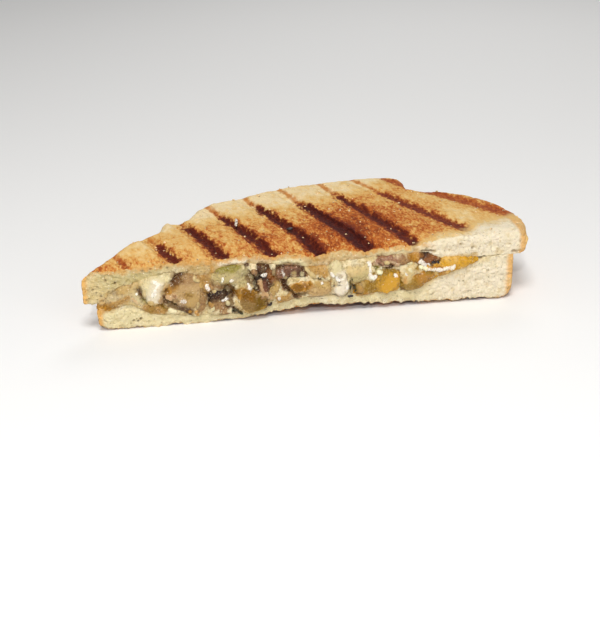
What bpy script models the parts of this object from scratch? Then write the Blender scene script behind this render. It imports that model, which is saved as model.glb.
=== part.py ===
"""Half of a grilled mushroom and cheese sandwich, modelled as solids in metres, +Z up.

Two slices of a domed loaf are pressed on a ribbed grill and cut lengthwise. The cut faces -Y. X runs along
the cut and Z is up. The shapes are worked out from the middle of the cut, and every object is then placed so
that the origin is the centre of the flat underside.
"""

import bisect
import math

import bmesh
import bpy
from mathutils import Vector, noise

MM = 0.001

# Place of the middle of the cut, seen from the centre of the flat underside
CUT_PLACE = (-4.0 * MM, -30.0 * MM, 0.0)

# Plan of the upper slice, from the left end of the cut round the dome to the right end, in millimetres
OUTLINE = (
    (-75.5, 0.0), (-72.5, 3.4), (-68.0, 6.5), (-63.0, 12.5), (-58.6, 18.0), (-53.5, 22.5), (-48.6, 26.0),
    (-46.4, 31.0), (-44.4, 35.8), (-39.6, 35.6), (-36.4, 37.8), (-31.6, 47.0), (-26.0, 53.0), (-18.0, 55.8),
    (-9.8, 59.8), (-1.0, 64.0), (11.5, 67.4), (24.0, 69.4), (38.0, 71.0), (48.0, 70.0), (52.8, 65.6),
    (52.6, 59.0), (52.4, 54.4), (55.6, 52.4), (61.5, 50.4), (68.0, 46.4), (74.4, 40.4), (79.8, 32.8),
    (83.2, 22.5), (84.5, 14.5), (82.8, 6.5), (80.0, 0.0),
)
OUTLINE_STEPS = 2
LOWER_SCALE = (0.945, 0.955)
LOWER_CENTRE_X = 3.0 * MM

# Edges of the layers on the cut, as x and z in millimetres
UPPER_TOP = (
    (-75.5, 21.2), (-68, 22.6), (-58, 22.6), (-46, 23.5), (-33, 22.6), (-25, 23.4), (-10, 23.1), (2, 21.9),
    (10, 22.5), (15, 23.4), (24, 23.3), (35, 24.2), (43, 23.6), (52, 25.3), (66, 26.0), (80, 25.2),
)
UPPER_BOTTOM = (
    (-75.5, 10.2), (-69, 10.4), (-66, 14.0), (-57, 17.0), (-46, 20.0), (-33, 17.2), (-25, 20.2), (-10, 19.6),
    (6, 17.4), (15, 19.6), (24, 20.3), (38, 21.2), (43, 20.3), (48, 17.4), (56, 17.0), (80, 17.4),
)
LOWER_TOP = (
    (-70.5, 9.2), (-66, 7.8), (-60, 9.6), (-54, 5.6), (-38, 3.6), (-20, 3.2), (-10, 5.4), (5, 7.0),
    (26, 6.8), (40, 7.2), (47, 10.4), (56, 13.2), (62, 15.6), (68, 16.4), (80, 16.8),
)
LOWER_BOTTOM = (
    (-70.5, 0.6), (-64, 0.0), (-30, 0.0), (-12, 1.4), (2, 3.2), (20, 2.4), (40, 1.2), (58, 0.6), (80, 0.2),
)

# Crown of the top crust behind the cut, and the seam where the crusts meet at the rim
CROWN = 25.1 * MM
CROWN_TILT = 0.004
CROWN_FALL = 0.3 * MM
CROWN_REACH = 70.0 * MM
CUT_REACH = 14.0 * MM
LIFT_REACH = 12.0 * MM
SEAM = 12.6 * MM
SEAM_TILT = 0.048
SEAM_GAP = 0.5 * MM
FILLING_CLOSE = 16.0 * MM
FILLING_BLEND = 10.0 * MM
FILLING_FALL = 0.25
FILLING_REACH = 25.0 * MM

# Grill marks: straight grooves, in units of the mark's number, that fan out over the last two
MARKS = 9
MARK_FRONT = (-60.8 * MM, 16.6 * MM)
MARK_REAR = (-79.7 * MM, 17.05 * MM)
MARK_REAR_Y = 50.0 * MM
MARK_FAN = 7.0 * MM
MARK_FAN_FROM = 6
MARK_FAN_POWER = 1.65
MARK_LIP = 0.19
MARK_FLOOR = 0.12
MARK_DEPTH = 1.3 * MM
UNDER_MARK_DEPTH = 0.8 * MM
MARK_MIDDLE = 4
MARK_SPREAD = 6.0
MARK_FADE_Y = (40.0 * MM, 64.0 * MM)
MARK_AT_CUT = 0.35
MARK_REACH = 8.0 * MM
ROWS = tuple(v * MM for v in (0, 2.5, 6, 11, 18, 26, 34, 42, 50, 58, 66, 75))
WALL_LAYERS = 3
CRUMB_RELIEF = 0.35 * MM
CRUMB_SCALE = 180.0

# Rounding of the crust at the rim, outside and at the seam
CRUST_RADIUS = 3.4 * MM
SEAM_RADIUS = 1.4 * MM
RIM_TURNS = (90, 55, 25)
RIM_RUN_OUT = 0.35
FAR = 30.0 * MM
FRONT_MARGIN = 9.0 * MM

# Filling
GAP = 0.35 * MM
FILLING_INSET = 5.0 * MM
INSET_KEPT = 0.97
BULGE = 1.3 * MM
PIECE_SPACE_FRONT = -4.0 * MM
PIECE_EDGE = 1.1 * MM
PIECE_TAPER = 0.78
PROFILE_STEPS = 3

# Pieces in the filling, each an outline on the cut in millimetres, how far it stands out of the cut, its
# length back from there, and its colour. An earlier piece pushes into a later one.
PIECES = {
    "mushroom_cap_slice": (
        ((-10.6, 13.4), (-9.4, 17.0), (-6.2, 19.2), (-2.2, 19.0), (0.8, 16.6), (1.8, 13.8), (5.6, 12.6),
         (9.4, 10.2), (7.4, 7.9), (-1.0, 7.6), (-8.0, 7.2), (-11.6, 9.8)),
        1.6, 15.0, (0.36, 0.22, 0.16)),
    "mushroom_chunk": (
        ((-48.4, 9.6), (-47.2, 14.0), (-43.6, 18.2), (-39.0, 20.4), (-36.2, 17.6), (-34.6, 12.6),
         (-34.2, 7.2), (-36.8, 3.4), (-41.4, 5.6)),
        1.4, 14.0, (0.52, 0.36, 0.22)),
    "mushroom_dark_left": (
        ((-33.2, 6.4), (-33.6, 10.2), (-29.8, 12.2), (-26.0, 11.2), (-23.6, 8.2), (-21.4, 3.8), (-26.6, 3.4),
         (-31.6, 3.6)),
        1.2, 13.0, (0.10, 0.05, 0.045)),
    "mushroom_dark_right": (
        ((-19.8, 12.0), (-19.4, 17.6), (-16.4, 19.6), (-12.4, 18.8), (-10.8, 15.0), (-11.4, 10.8),
         (-14.2, 8.8), (-17.4, 9.4)),
        1.8, 15.0, (0.07, 0.05, 0.045)),
    "leek_piece": (
        ((-31.2, 15.2), (-29.8, 19.0), (-25.4, 20.6), (-20.8, 19.4), (-20.4, 15.4), (-24.6, 12.9),
         (-29.0, 13.0)),
        1.0, 12.0, (0.42, 0.46, 0.16)),
    "cheese_drip": (
        ((-23.2, 8.6), (-21.4, 12.6), (-17.6, 13.2), (-13.6, 11.4), (-12.0, 7.6), (-13.8, 4.6), (-18.4, 3.2),
         (-21.6, 4.8)),
        2.2, 13.0, (0.72, 0.50, 0.20)),
    "mushroom_right": (
        ((23.6, 17.2), (25.4, 19.6), (31.0, 20.6), (37.0, 20.8), (38.0, 18.4), (33.6, 15.9), (27.6, 15.6)),
        1.2, 12.0, (0.28, 0.19, 0.13)),
    "mushroom_end": (
        ((38.0, 17.6), (38.8, 20.6), (41.6, 20.4), (45.6, 18.6), (47.0, 16.6), (43.4, 15.7), (40.2, 15.8)),
        0.6, 11.0, (0.34, 0.18, 0.09)),
    "onion_piece": (
        ((35.2, 15.6), (38.6, 16.2), (40.6, 14.6), (38.8, 11.6), (36.4, 9.6), (35.6, 12.6)),
        1.5, 10.0, (0.80, 0.77, 0.66)),
}

# Where each melted layer lies on the cut, as x and z in millimetres
CHEESE_REGIONS = {
    "cheese_white": (
        (-57.2, 30.0), (-55.8, 10.8), (-51.4, 9.4), (-45.6, 6.0), (-45.4, -5.0), (15.4, -5.0), (16.4, 8.4),
        (19.4, 11.6), (24.6, 13.8), (26.6, 16.2), (26.8, 30.0)),
    "cheese_yellow": (
        (15.8, -5.0), (60.5, -5.0), (60.5, 30.0), (27.2, 30.0), (27.0, 16.0), (24.9, 13.4), (19.7, 11.2),
        (16.8, 8.1)),
    "cheese_browned": (
        (-67.5, -5.0), (-45.8, -5.0), (-46.0, 5.7), (-51.6, 9.0), (-56.1, 10.4), (-57.6, 30.0), (-67.5, 30.0)),
}

MATERIALS = {
    "bread": ((0.72, 0.50, 0.27), 0.85),
    "cheese_white": ((0.87, 0.81, 0.62), 0.3),
    "cheese_yellow": ((0.70, 0.45, 0.08), 0.3),
    "cheese_browned": ((0.66, 0.40, 0.14), 0.35),
}
PIECE_ROUGHNESS = 0.35


def clear_scene():
    for obj in list(bpy.data.objects):
        bpy.data.objects.remove(obj)


def smooth(value):
    """0 below 0, 1 above 1, and an even S between."""
    value = min(max(value, 0.0), 1.0)
    return value * value * (3.0 - 2.0 * value)


def mix(a, b, share):
    return a + (b - a) * share


def read_curve(points, x):
    """Height in metres at x metres of a curve given in millimetres, smooth through its points."""
    places = [p[0] for p in points]
    at = min(max(x / MM, places[0]), places[-1])
    i = min(max(bisect.bisect_right(places, at) - 1, 0), len(points) - 2)

    def slope(n):
        before, after = points[max(n - 1, 0)], points[min(n + 1, len(points) - 1)]
        return (after[1] - before[1]) / (after[0] - before[0])

    (x0, z0), (x1, z1) = points[i], points[i + 1]
    width = x1 - x0
    t = (at - x0) / width
    value = (
        z0 * (1 + 2 * t) * (1 - t) ** 2
        + slope(i) * width * t * (1 - t) ** 2
        + z1 * t * t * (3 - 2 * t)
        - slope(i + 1) * width * t * t * (1 - t)
    )
    return value * MM


def smooth_path(points, steps, closed):
    """A Catmull-Rom curve through flat points, with the given steps between two points."""
    count = len(points)
    path = []
    for i in range(count if closed else count - 1):
        if closed:
            p = [Vector(points[(i + n) % count]) for n in (-1, 0, 1, 2)]
        else:
            p = [Vector(points[min(max(i + n, 0), count - 1)]) for n in (-1, 0, 1, 2)]
        for step in range(steps):
            t = step / steps
            bend = 2 * p[0] - 5 * p[1] + 4 * p[2] - p[3]
            turn = 3 * p[1] - 3 * p[2] + p[3] - p[0]
            path.append(0.5 * (2 * p[1] + (p[2] - p[0]) * t + bend * t * t + turn * t ** 3))
    if not closed:
        path.append(Vector(points[-1]))
    return path


UPPER_EDGE = [p * MM for p in smooth_path(OUTLINE, OUTLINE_STEPS, closed=False)]


def lower_edge():
    """The lower slice's outline: the same loaf, a little smaller."""
    return [
        Vector((LOWER_CENTRE_X + (p.x - LOWER_CENTRE_X) * LOWER_SCALE[0], p.y * LOWER_SCALE[1]))
        for p in UPPER_EDGE
    ]


def rim_distance(x, y):
    """Distance in plan from the upper slice's rim, leaving out the cut."""
    nearest = FAR
    for a, b in zip(UPPER_EDGE, UPPER_EDGE[1:]):
        along = b - a
        share = min(max((Vector((x, y)) - a).dot(along) / along.length_squared, 0.0), 1.0)
        nearest = min(nearest, (Vector((x, y)) - a - along * share).length)
    return nearest


def mark_x(number, y):
    """Place along X of a mark, which may be a part of the way to the next one, at y behind the cut."""
    fan = MARK_FAN * max(0.0, number - MARK_FAN_FROM) ** MARK_FAN_POWER
    front = MARK_FRONT[0] + MARK_FRONT[1] * number + fan
    rear = MARK_REAR[0] + MARK_REAR[1] * number
    return mix(front, rear, y / MARK_REAR_Y)


def groove(number, y, deepest):
    """Depth of the pressed grooves at a column of the grid, less at the cut and at both ends of the row."""
    nearest = min(max(round(number), 0), MARKS - 1)
    if abs(number - nearest) > (MARK_LIP + MARK_FLOOR) / 2:
        return 0.0
    strength = 1.0 - (abs(nearest - MARK_MIDDLE) / MARK_SPREAD) ** 2
    strength *= mix(MARK_AT_CUT, 1.0, smooth(y / MARK_REACH))
    start, end = MARK_FADE_Y
    return deepest * strength * (1.0 - 0.6 * smooth((y - start) / (end - start)))


def crust_top(x, y):
    """The pressed top of the upper slice: a low crown that droops to the cut."""
    crown = CROWN + CROWN_TILT * x - CROWN_FALL * (y / CROWN_REACH) ** 2
    return mix(read_curve(UPPER_TOP, x), crown, smooth(y / CUT_REACH))


def crust_bottom(x, y):
    """The underside: flat, and lifted a little at the cut where the knife pulled it up."""
    return read_curve(LOWER_BOTTOM, x) * (1.0 - smooth(y / LIFT_REACH))


def filling_share(x, y):
    """How much of the filling's height at the cut is left at this place, none at the rim."""
    closing = mix(1.0, smooth(rim_distance(x, y) / FILLING_CLOSE), smooth(y / FILLING_BLEND))
    return closing * (1.0 - FILLING_FALL * smooth(y / FILLING_REACH))


def crumb_bottom(x, y):
    """The inner face of the upper slice."""
    seam = SEAM + SEAM_TILT * x + SEAM_GAP / 2
    return mix(seam, read_curve(UPPER_BOTTOM, x), filling_share(x, y))


def crumb_top(x, y):
    """The inner face of the lower slice."""
    seam = SEAM + SEAM_TILT * x - SEAM_GAP / 2
    return mix(seam, read_curve(LOWER_TOP, x), filling_share(x, y))


def new_object(name, bm):
    """An object in the scene from a bmesh with its faces turned outwards, placed from the cut's middle."""
    bmesh.ops.recalc_face_normals(bm, faces=bm.faces)
    mesh = bpy.data.meshes.new(name)
    bm.to_mesh(mesh)
    bm.free()
    obj = bpy.data.objects.new(name, mesh)
    obj.location = CUT_PLACE
    bpy.context.scene.collection.objects.link(obj)
    return obj


def as_cutter(obj):
    obj.hide_render = True
    obj.display_type = "WIRE"
    return obj


def give_material(obj, name, colour, roughness):
    material = bpy.data.materials.get(name) or bpy.data.materials.new(name)
    material.use_nodes = True
    shader = material.node_tree.nodes["Principled BSDF"]
    shader.inputs["Base Color"].default_value = (*colour, 1.0)
    shader.inputs["Roughness"].default_value = roughness
    shader.inputs["Metallic"].default_value = 0.0
    obj.data.materials.append(material)


def box_shell(counts, place):
    """A closed box with counts cells along its three ways; place gives each corner's point.

    Every cell is split along the same diagonal, so two boxes on one grid stay evenly apart.
    """
    bm = bmesh.new()
    corners = {}

    def corner(*index):
        if index not in corners:
            corners[index] = bm.verts.new(place(*index))
        return corners[index]

    for way in range(3):
        one, two = [n for n in range(3) if n != way]
        for level in (0, counts[way]):
            for a in range(counts[one]):
                for b in range(counts[two]):
                    loop = []
                    for da, db in ((0, 0), (1, 0), (1, 1), (0, 1)):
                        index = [level] * 3
                        index[one], index[two] = a + da, b + db
                        loop.append(corner(*index))
                    bm.faces.new(loop)
    bmesh.ops.triangulate(bm, faces=bm.faces, quad_method="FIXED")
    return bm


def columns():
    """The grid's columns in units of mark number: the lips and floor of each groove, and between grooves."""
    found = [-1.3, -0.9, -0.5]
    for number in range(MARKS):
        found += [number - MARK_LIP, number - MARK_FLOOR, number + MARK_FLOOR, number + MARK_LIP]
        found.append(number + 0.5)
    return found + [9.0, 9.4]


def slice_block(low, high, low_groove, high_groove):
    """A slice before its outline is cut: a block whose columns follow the grill marks."""
    numbers = columns()

    def place(i, j, k):
        y = ROWS[j]
        x = mark_x(numbers[i], y)
        bottom = low(x, y) + groove(numbers[i], y, low_groove)
        top = high(x, y) - groove(numbers[i], y, high_groove)
        z = mix(bottom, top, k / WALL_LAYERS)
        if j == 0:
            y += CRUMB_RELIEF * noise.noise(Vector((x, 0.0, z)) * CRUMB_SCALE)
        return x, y, z

    return box_shell((len(numbers) - 1, len(ROWS) - 1, WALL_LAYERS), place)


def inset(points, distance):
    """A closed flat loop, anticlockwise or not, moved towards its inside by one distance."""
    count = len(points)
    area = sum(a.x * b.y - b.x * a.y for a, b in zip(points, points[1:] + points[:1]))
    turn = 1.0 if area > 0 else -1.0
    moved = []
    for i, point in enumerate(points):
        before = (point - points[i - 1]).normalized()
        after = (points[(i + 1) % count] - point).normalized()
        normal = Vector((-before.y - after.y, before.x + after.x)).normalized()
        moved.append(point + turn * distance * normal)
    return moved


def loft(rings):
    """A closed solid through rings of equal length, with a flat face on each end."""
    bm = bmesh.new()
    loops = [[bm.verts.new(p) for p in ring] for ring in rings]
    count = len(loops[0])
    for low, high in zip(loops, loops[1:]):
        for i in range(count):
            n = (i + 1) % count
            bm.faces.new((low[i], low[n], high[n], high[i]))
    bm.faces.new(loops[0])
    bm.faces.new(loops[-1])
    return bm


def rim_rings(radius):
    """Inset and depth of the rings that round a crust's edge, from its side to past its flat face."""
    rings = []
    for degrees in RIM_TURNS:
        angle = math.radians(degrees)
        rings.append((radius * (1 - math.sin(angle)), radius * (1 - math.cos(angle))))
    last = math.radians(RIM_TURNS[-1])
    run = RIM_RUN_OUT * radius
    rings.append((rings[-1][0] + run * math.cos(last), rings[-1][1] - run * math.sin(last)))
    return rings


def outline_cutter(name, edge, low, high, low_radius, high_radius):
    """The space inside a slice's outline, its rim rounded towards the slice's two faces."""
    front = [Vector((edge[-1].x, -FRONT_MARGIN)), Vector((edge[0].x, -FRONT_MARGIN))]
    loop = edge + front
    under, over = rim_rings(low_radius), rim_rings(high_radius)
    rings = [[(p.x, p.y, -FAR) for p in inset(loop, under[-1][0])]]
    for step, depth in reversed(under):
        rings.append([(p.x, p.y, low(p.x, max(p.y, 0.0)) + depth) for p in inset(loop, step)])
    for step, depth in over:
        rings.append([(p.x, p.y, high(p.x, max(p.y, 0.0)) - depth) for p in inset(loop, step)])
    rings.append([(p.x, p.y, 2 * FAR) for p in inset(loop, over[-1][0])])
    return as_cutter(new_object(name, loft(rings)))


def add_boolean(obj, operation, operand):
    modifier = obj.modifiers.new(operation.title(), "BOOLEAN")
    modifier.operation = operation
    modifier.solver = "EXACT"
    if isinstance(operand, bpy.types.Collection):
        modifier.operand_type = "COLLECTION"
        modifier.collection = operand
    else:
        modifier.object = operand


def make_bread():
    upper = new_object("bread_upper", slice_block(crumb_bottom, crust_top, 0.0, MARK_DEPTH))
    lower = new_object("bread_lower", slice_block(crust_bottom, crumb_top, UNDER_MARK_DEPTH, 0.0))
    add_boolean(upper, "INTERSECT", outline_cutter(
        "upper_outline", UPPER_EDGE, crumb_bottom, crust_top, SEAM_RADIUS, CRUST_RADIUS))
    add_boolean(lower, "INTERSECT", outline_cutter(
        "lower_outline", lower_edge(), crust_bottom, crumb_top, CRUST_RADIUS, SEAM_RADIUS))
    for obj in (upper, lower):
        give_material(obj, "bread", *MATERIALS["bread"])


def filling_space(name, front, bulge):
    """The space between the slices on the slices' own grid, its front pushed out of the cut half way up."""
    numbers = columns()

    def place(i, j, k):
        y = ROWS[j]
        x = mark_x(numbers[i], y)
        low = crumb_top(x, y) + GAP
        high = max(crumb_bottom(x, y) - GAP, low + GAP)
        z = mix(low, high, k / WALL_LAYERS)
        if j == 0:
            swell = 0.6 + noise.noise(Vector((x, z, 0.0)) * CRUMB_SCALE)
            y = front - bulge * swell * math.sin(math.pi * k / WALL_LAYERS)
        return x, y, z

    return new_object(name, box_shell((len(numbers) - 1, len(ROWS) - 1, WALL_LAYERS), place))


def profile_ring(profile, y, grow, scale):
    """A piece's outline at one depth, grown outwards by a distance and scaled about its middle."""
    loop = [p * MM for p in smooth_path(profile, PROFILE_STEPS, closed=True)]
    middle = sum(loop, Vector((0.0, 0.0))) / len(loop)
    ring = inset([middle + (p - middle) * scale for p in loop], -grow)
    return [(p.x, y, p.y) for p in ring]


def piece_rings(profile, proud, length, grow):
    """Front, sides and back of a piece: rounded where it stands out of the cut, narrower at its back."""
    front = -proud * MM - grow
    back = front + length * MM + 2 * grow
    edge = 0.0 if grow else PIECE_EDGE
    rings = []
    if edge:
        rings.append(profile_ring(profile, front, -edge, 1.0))
        rings.append(profile_ring(profile, front + 0.3 * edge, -0.3 * edge, 1.0))
    rings.append(profile_ring(profile, front + edge, grow, 1.0))
    rings.append(profile_ring(profile, mix(front, back, 0.6), grow, mix(1.0, PIECE_TAPER, 0.4)))
    rings.append(profile_ring(profile, back, grow, PIECE_TAPER))
    return rings


def region_cutter(name, outline):
    """An outline on the cut in millimetres, carried through the sandwich from front to back."""
    rings = [[(x * MM, y, z * MM) for x, z in outline] for y in (-FRONT_MARGIN, 3 * FAR)]
    return as_cutter(new_object(name, loft(rings)))


def reach_cutter():
    """The filling's reach in plan: the rim moved in, without the points that fold over, and open past the cut."""
    front = [Vector((UPPER_EDGE[-1].x, -FRONT_MARGIN)), Vector((UPPER_EDGE[0].x, -FRONT_MARGIN))]
    loop = inset(UPPER_EDGE + front, FILLING_INSET)
    kept = [p for p in loop if rim_distance(p.x, p.y) > FILLING_INSET * INSET_KEPT]
    return as_cutter(new_object("filling_reach", loft([[(p.x, p.y, z) for p in kept] for z in (-FAR, 2 * FAR)])))


def make_pieces(pockets):
    """Each piece is kept inside the filling's space and clear of the ones before it."""
    space = as_cutter(filling_space("piece_space", PIECE_SPACE_FRONT, 0.0))
    earlier = []
    for name, (profile, proud, length, colour) in PIECES.items():
        piece = new_object(name, loft(piece_rings(profile, proud, length, 0.0)))
        give_material(piece, name, colour, PIECE_ROUGHNESS)
        add_boolean(piece, "INTERSECT", space)
        for other in earlier:
            add_boolean(piece, "DIFFERENCE", other)
        pocket = as_cutter(new_object(name + "_pocket", loft(piece_rings(profile, proud, length, GAP))))
        earlier.append(pocket)
        pockets.objects.link(pocket)


def make_cheese(pockets):
    """The melted layers fill the rest of the space, with a pocket round every piece."""
    reach = reach_cutter()
    for name, outline in CHEESE_REGIONS.items():
        layer = filling_space(name, 0.0, BULGE)
        give_material(layer, name, *MATERIALS[name])
        add_boolean(layer, "INTERSECT", region_cutter(name + "_region", outline))
        add_boolean(layer, "INTERSECT", reach)
        add_boolean(layer, "DIFFERENCE", pockets)


def make_filling():
    pockets = bpy.data.collections.new("pockets")
    bpy.context.scene.collection.children.link(pockets)
    make_pieces(pockets)
    make_cheese(pockets)


clear_scene()
make_bread()
make_filling()
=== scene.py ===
# %% [markdown]
# This script dresses one half of a grilled mushroom and cheese sandwich. Two slices of a domed loaf were
# filled, pressed on a ribbed grill and cut lengthwise, and the half rests with its cut to the front. The
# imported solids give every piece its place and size. Each step below gives one piece or one finish the
# surface of the real food.

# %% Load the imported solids
import math

import bmesh
import bpy
import numpy as np
from mathutils import Matrix, Vector
from mathutils.bvhtree import BVHTree


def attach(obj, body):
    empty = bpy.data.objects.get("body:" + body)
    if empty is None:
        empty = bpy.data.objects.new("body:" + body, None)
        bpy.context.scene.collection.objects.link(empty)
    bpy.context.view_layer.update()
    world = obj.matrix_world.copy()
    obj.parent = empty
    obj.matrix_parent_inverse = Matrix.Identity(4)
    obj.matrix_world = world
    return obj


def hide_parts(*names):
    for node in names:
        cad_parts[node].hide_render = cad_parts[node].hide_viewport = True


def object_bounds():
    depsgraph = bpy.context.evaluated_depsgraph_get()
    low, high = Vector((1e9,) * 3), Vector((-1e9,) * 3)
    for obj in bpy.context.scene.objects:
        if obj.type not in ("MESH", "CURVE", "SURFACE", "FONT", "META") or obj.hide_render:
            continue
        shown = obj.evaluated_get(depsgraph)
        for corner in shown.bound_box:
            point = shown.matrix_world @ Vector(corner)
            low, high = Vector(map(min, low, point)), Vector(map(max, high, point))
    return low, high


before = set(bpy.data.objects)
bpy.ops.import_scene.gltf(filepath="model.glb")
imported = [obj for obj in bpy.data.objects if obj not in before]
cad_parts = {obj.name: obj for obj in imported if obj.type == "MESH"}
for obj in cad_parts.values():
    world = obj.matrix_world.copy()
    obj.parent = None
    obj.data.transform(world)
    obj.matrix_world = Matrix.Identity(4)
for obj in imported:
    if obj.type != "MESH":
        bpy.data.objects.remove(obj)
solid_box = [list(corner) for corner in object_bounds()]
print(len(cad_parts), "solids, box", solid_box)

# %% [markdown]
# Food is easiest to place from a spot that the eye finds again. Every place below is in millimetres from
# the middle of the cut: x runs along the cut, y goes back into the food and z is up.

# %% Measure from the middle of the cut
MM = 0.001
CUT_MIDDLE = Vector((-4.0, -30.0, 0.0)) * MM


def at(x, y, z):
    """A place on the food, in the scene's metres."""
    return CUT_MIDDLE + Vector((x, y, z)) * MM


print("middle of the cut", tuple(round(v, 4) for v in at(0, 0, 0)))

# %% [markdown]
# A food photographer lights a sandwich from above and a little from the left, through a large soft box,
# and fills the cut from the front so that the crumb stays bright. A small bare lamp adds sparks of light
# on the wet cheese. Four area lights and a pale world do that here. The other highlights on the cheese are
# painted into its colour further down. The colours are meant to come out as they are mixed, so the view
# transform is Standard.

# %% Set the camera, the lights and the floor
CAMERA_PLACE = (-0.0780, -0.4020, 0.1769)
CAMERA_PITCH = 25.26
CAMERA_TURN = -11.07
FLOOR_SIZE = 3.0
LIGHTS = {
    "key": ((-0.10, -0.36, 0.68), 0.24, 3.5),
    "fill": ((0.36, -0.70, 0.34), 0.50, 0.85),
    "spark": ((-0.16, -0.62, 0.46), 0.034, 1.6),
    "back": ((0.25, 0.55, 0.50), 0.35, 1.0),
}
WORLD_STRENGTH = 0.25

scene = bpy.context.scene
scene.view_settings.view_transform = "Standard"
lens = bpy.data.cameras.new("camera")
lens.lens, lens.sensor_width, lens.clip_start = 67.5, 36.0, 0.01
scene.camera = bpy.data.objects.new("camera", lens)
scene.camera.location = CAMERA_PLACE
scene.camera.rotation_euler = (math.radians(90 - CAMERA_PITCH), 0, math.radians(CAMERA_TURN))
scene.collection.objects.link(scene.camera)

for name, (place, size, power) in LIGHTS.items():
    lamp = bpy.data.lights.new(name, "AREA")
    lamp.size, lamp.energy = size, power
    holder = bpy.data.objects.new(name, lamp)
    holder.location = place
    holder.rotation_euler = (-Vector(place)).to_track_quat("-Z", "Y").to_euler()
    scene.collection.objects.link(holder)

scene.world = bpy.data.worlds.new("studio")
scene.world.use_nodes = True
scene.world.node_tree.nodes["Background"].inputs["Color"].default_value = (1.0, 1.0, 1.0, 1.0)
scene.world.node_tree.nodes["Background"].inputs["Strength"].default_value = WORLD_STRENGTH

bm = bmesh.new()
bmesh.ops.create_grid(bm, x_segments=1, y_segments=1, size=FLOOR_SIZE / 2)
bmesh.ops.translate(bm, verts=bm.verts, vec=(0, 0, solid_box[0][2]))
floor_mesh = bpy.data.meshes.new("floor")
bm.to_mesh(floor_mesh)
bm.free()
floor = bpy.data.objects.new("floor", floor_mesh)
scene.collection.objects.link(floor)
print("lights", ", ".join(LIGHTS))

# %% [markdown]
# Colours are easiest to judge as they show on a screen, from 0 to 255, but a shader works with linear
# light. One function turns the first into the second, so that every tone below reads like a swatch. A
# food painter works from a small box of mixed tones, and so do the strokes on the cut further down.

# %% Mix tones
def tone(red, green, blue):
    """A screen colour as the linear colour that a shader takes."""

    def linear(value):
        value /= 255
        return value / 12.92 if value <= 0.04045 else ((value + 0.055) / 1.055) ** 2.4

    return (linear(red), linear(green), linear(blue), 1.0)


# Crumb, cheese, mushroom and leek, from the painted highlights spark and gloss to burnt edges
MIXES = {
    "spark": (252, 248, 242), "gloss": (247, 238, 222), "butter": (248, 236, 192),
    "milk": (231, 217, 191), "cream": (218, 202, 154), "biscuit": (210, 184, 128),
    "oat": (195, 173, 128), "peach": (204, 164, 116), "honey": (206, 173, 104),
    "straw": (187, 169, 115), "rose": (190, 158, 118), "wheat": (189, 154, 101),
    "apricot": (202, 152, 80), "toffee": (184, 150, 88), "sage": (173, 158, 112),
    "pewter": (152, 140, 106), "yolk": (206, 152, 34), "caramel": (181, 138, 72),
    "nut": (158, 120, 76), "amber": (178, 124, 34), "mustard": (152, 114, 30),
    "leek green": (136, 124, 46), "bark": (128, 102, 64), "rust": (136, 80, 34),
    "cap": (150, 106, 80), "plum": (114, 68, 48), "umber": (104, 66, 24),
    "olive": (92, 78, 32), "coffee": (88, 56, 26), "chestnut": (74, 40, 20),
    "cocoa": (60, 34, 16), "soot": (46, 38, 20), "char": (38, 17, 12),
}
TONES = {name: tone(*mix) for name, mix in MIXES.items()}
# The spark and gloss tones are painted highlights, not colours of the food
PAINTED_HIGHLIGHT_TONES = ("spark", "gloss")
print(len(TONES), "tones to paint with")

# %% [markdown]
# A finish is a small recipe of nodes. Wiring Math nodes by hand hides the recipe, so a wire carries the
# operators instead: a sum on two wires adds its Math node. Any other node comes from one method, which
# takes the node's settings first and then what its sockets hold.

# %% Write a finish as sums
class Wire:
    """A socket of a finish, on which Python's own operators add Math nodes."""

    def __init__(self, tree, socket=None):
        self.tree = tree
        self.socket = socket

    def node(self, kind, settings=None, values=None, output=0):
        """Adds a node, its settings first, then the values or wires of its sockets."""
        made = self.tree.nodes.new("ShaderNode" + kind)
        for name, value in (settings or {}).items():
            if name == "stops":
                self.set_stops(made.color_ramp, value)
            else:
                setattr(made, name, value)
        for name, value in (values or {}).items():
            if isinstance(value, Wire):
                self.tree.links.new(value.socket, made.inputs[name])
            else:
                made.inputs[name].default_value = value
        return Wire(self.tree, made.outputs[output])

    @staticmethod
    def set_stops(ramp, stops):
        while len(ramp.elements) < len(stops):
            ramp.elements.new(1.0)
        for element, (position, colour) in zip(ramp.elements, stops):
            element.position, element.color = position, colour

    def math(self, operation, first, second):
        return self.node("Math", {"operation": operation}, {0: first, 1: second})

    def __add__(self, other):
        return self.math("ADD", self, other)

    def __sub__(self, other):
        return self.math("SUBTRACT", self, other)

    def __rsub__(self, other):
        return self.math("SUBTRACT", other, self)

    def __mul__(self, other):
        return self.math("MULTIPLY", self, other)

    __radd__ = __add__


print("a wire can be added to, subtracted from and multiplied")

# %% [markdown]
# A few steps turn up in every finish: an even border between two surfaces, one colour laid over another, a
# ramp of tones, a number read from the points of the piece, noise with lumps of a known size, and relief too
# fine to model. Each gets a short name here, so that a finish further down reads like a recipe.

# %% Name the steps of a recipe
def smooth(wire, low, high):
    """0 under low, 1 over high and an even S between, or the other way round if low is the larger."""
    ends = (low, high, 0.0, 1.0) if low < high else (high, low, 1.0, 0.0)
    values = dict(zip(("From Min", "From Max", "To Min", "To Max"), ends))
    return wire.node("MapRange", {"interpolation_type": "SMOOTHSTEP"}, {"Value": wire, **values})


def blend(first, second, share):
    """One colour over another by a share from 0 to 1."""
    return share.node("Mix", {"data_type": "RGBA"}, {0: share, 6: first, 7: second}, output=2)


def ramp(wire, *stops):
    return wire.node("ValToRGB", {"stops": stops}, {"Fac": wire})


def reading(wire, name, output="Fac"):
    """What was noted at the points of the piece under this name."""
    return wire.node("Attribute", {"attribute_name": name}, output=output)


def in_millimetres(wire):
    place = wire.node("TexCoord", output="Object")
    return wire.node("VectorMath", {"operation": "SCALE"}, {0: place, "Scale": 1 / MM})


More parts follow.
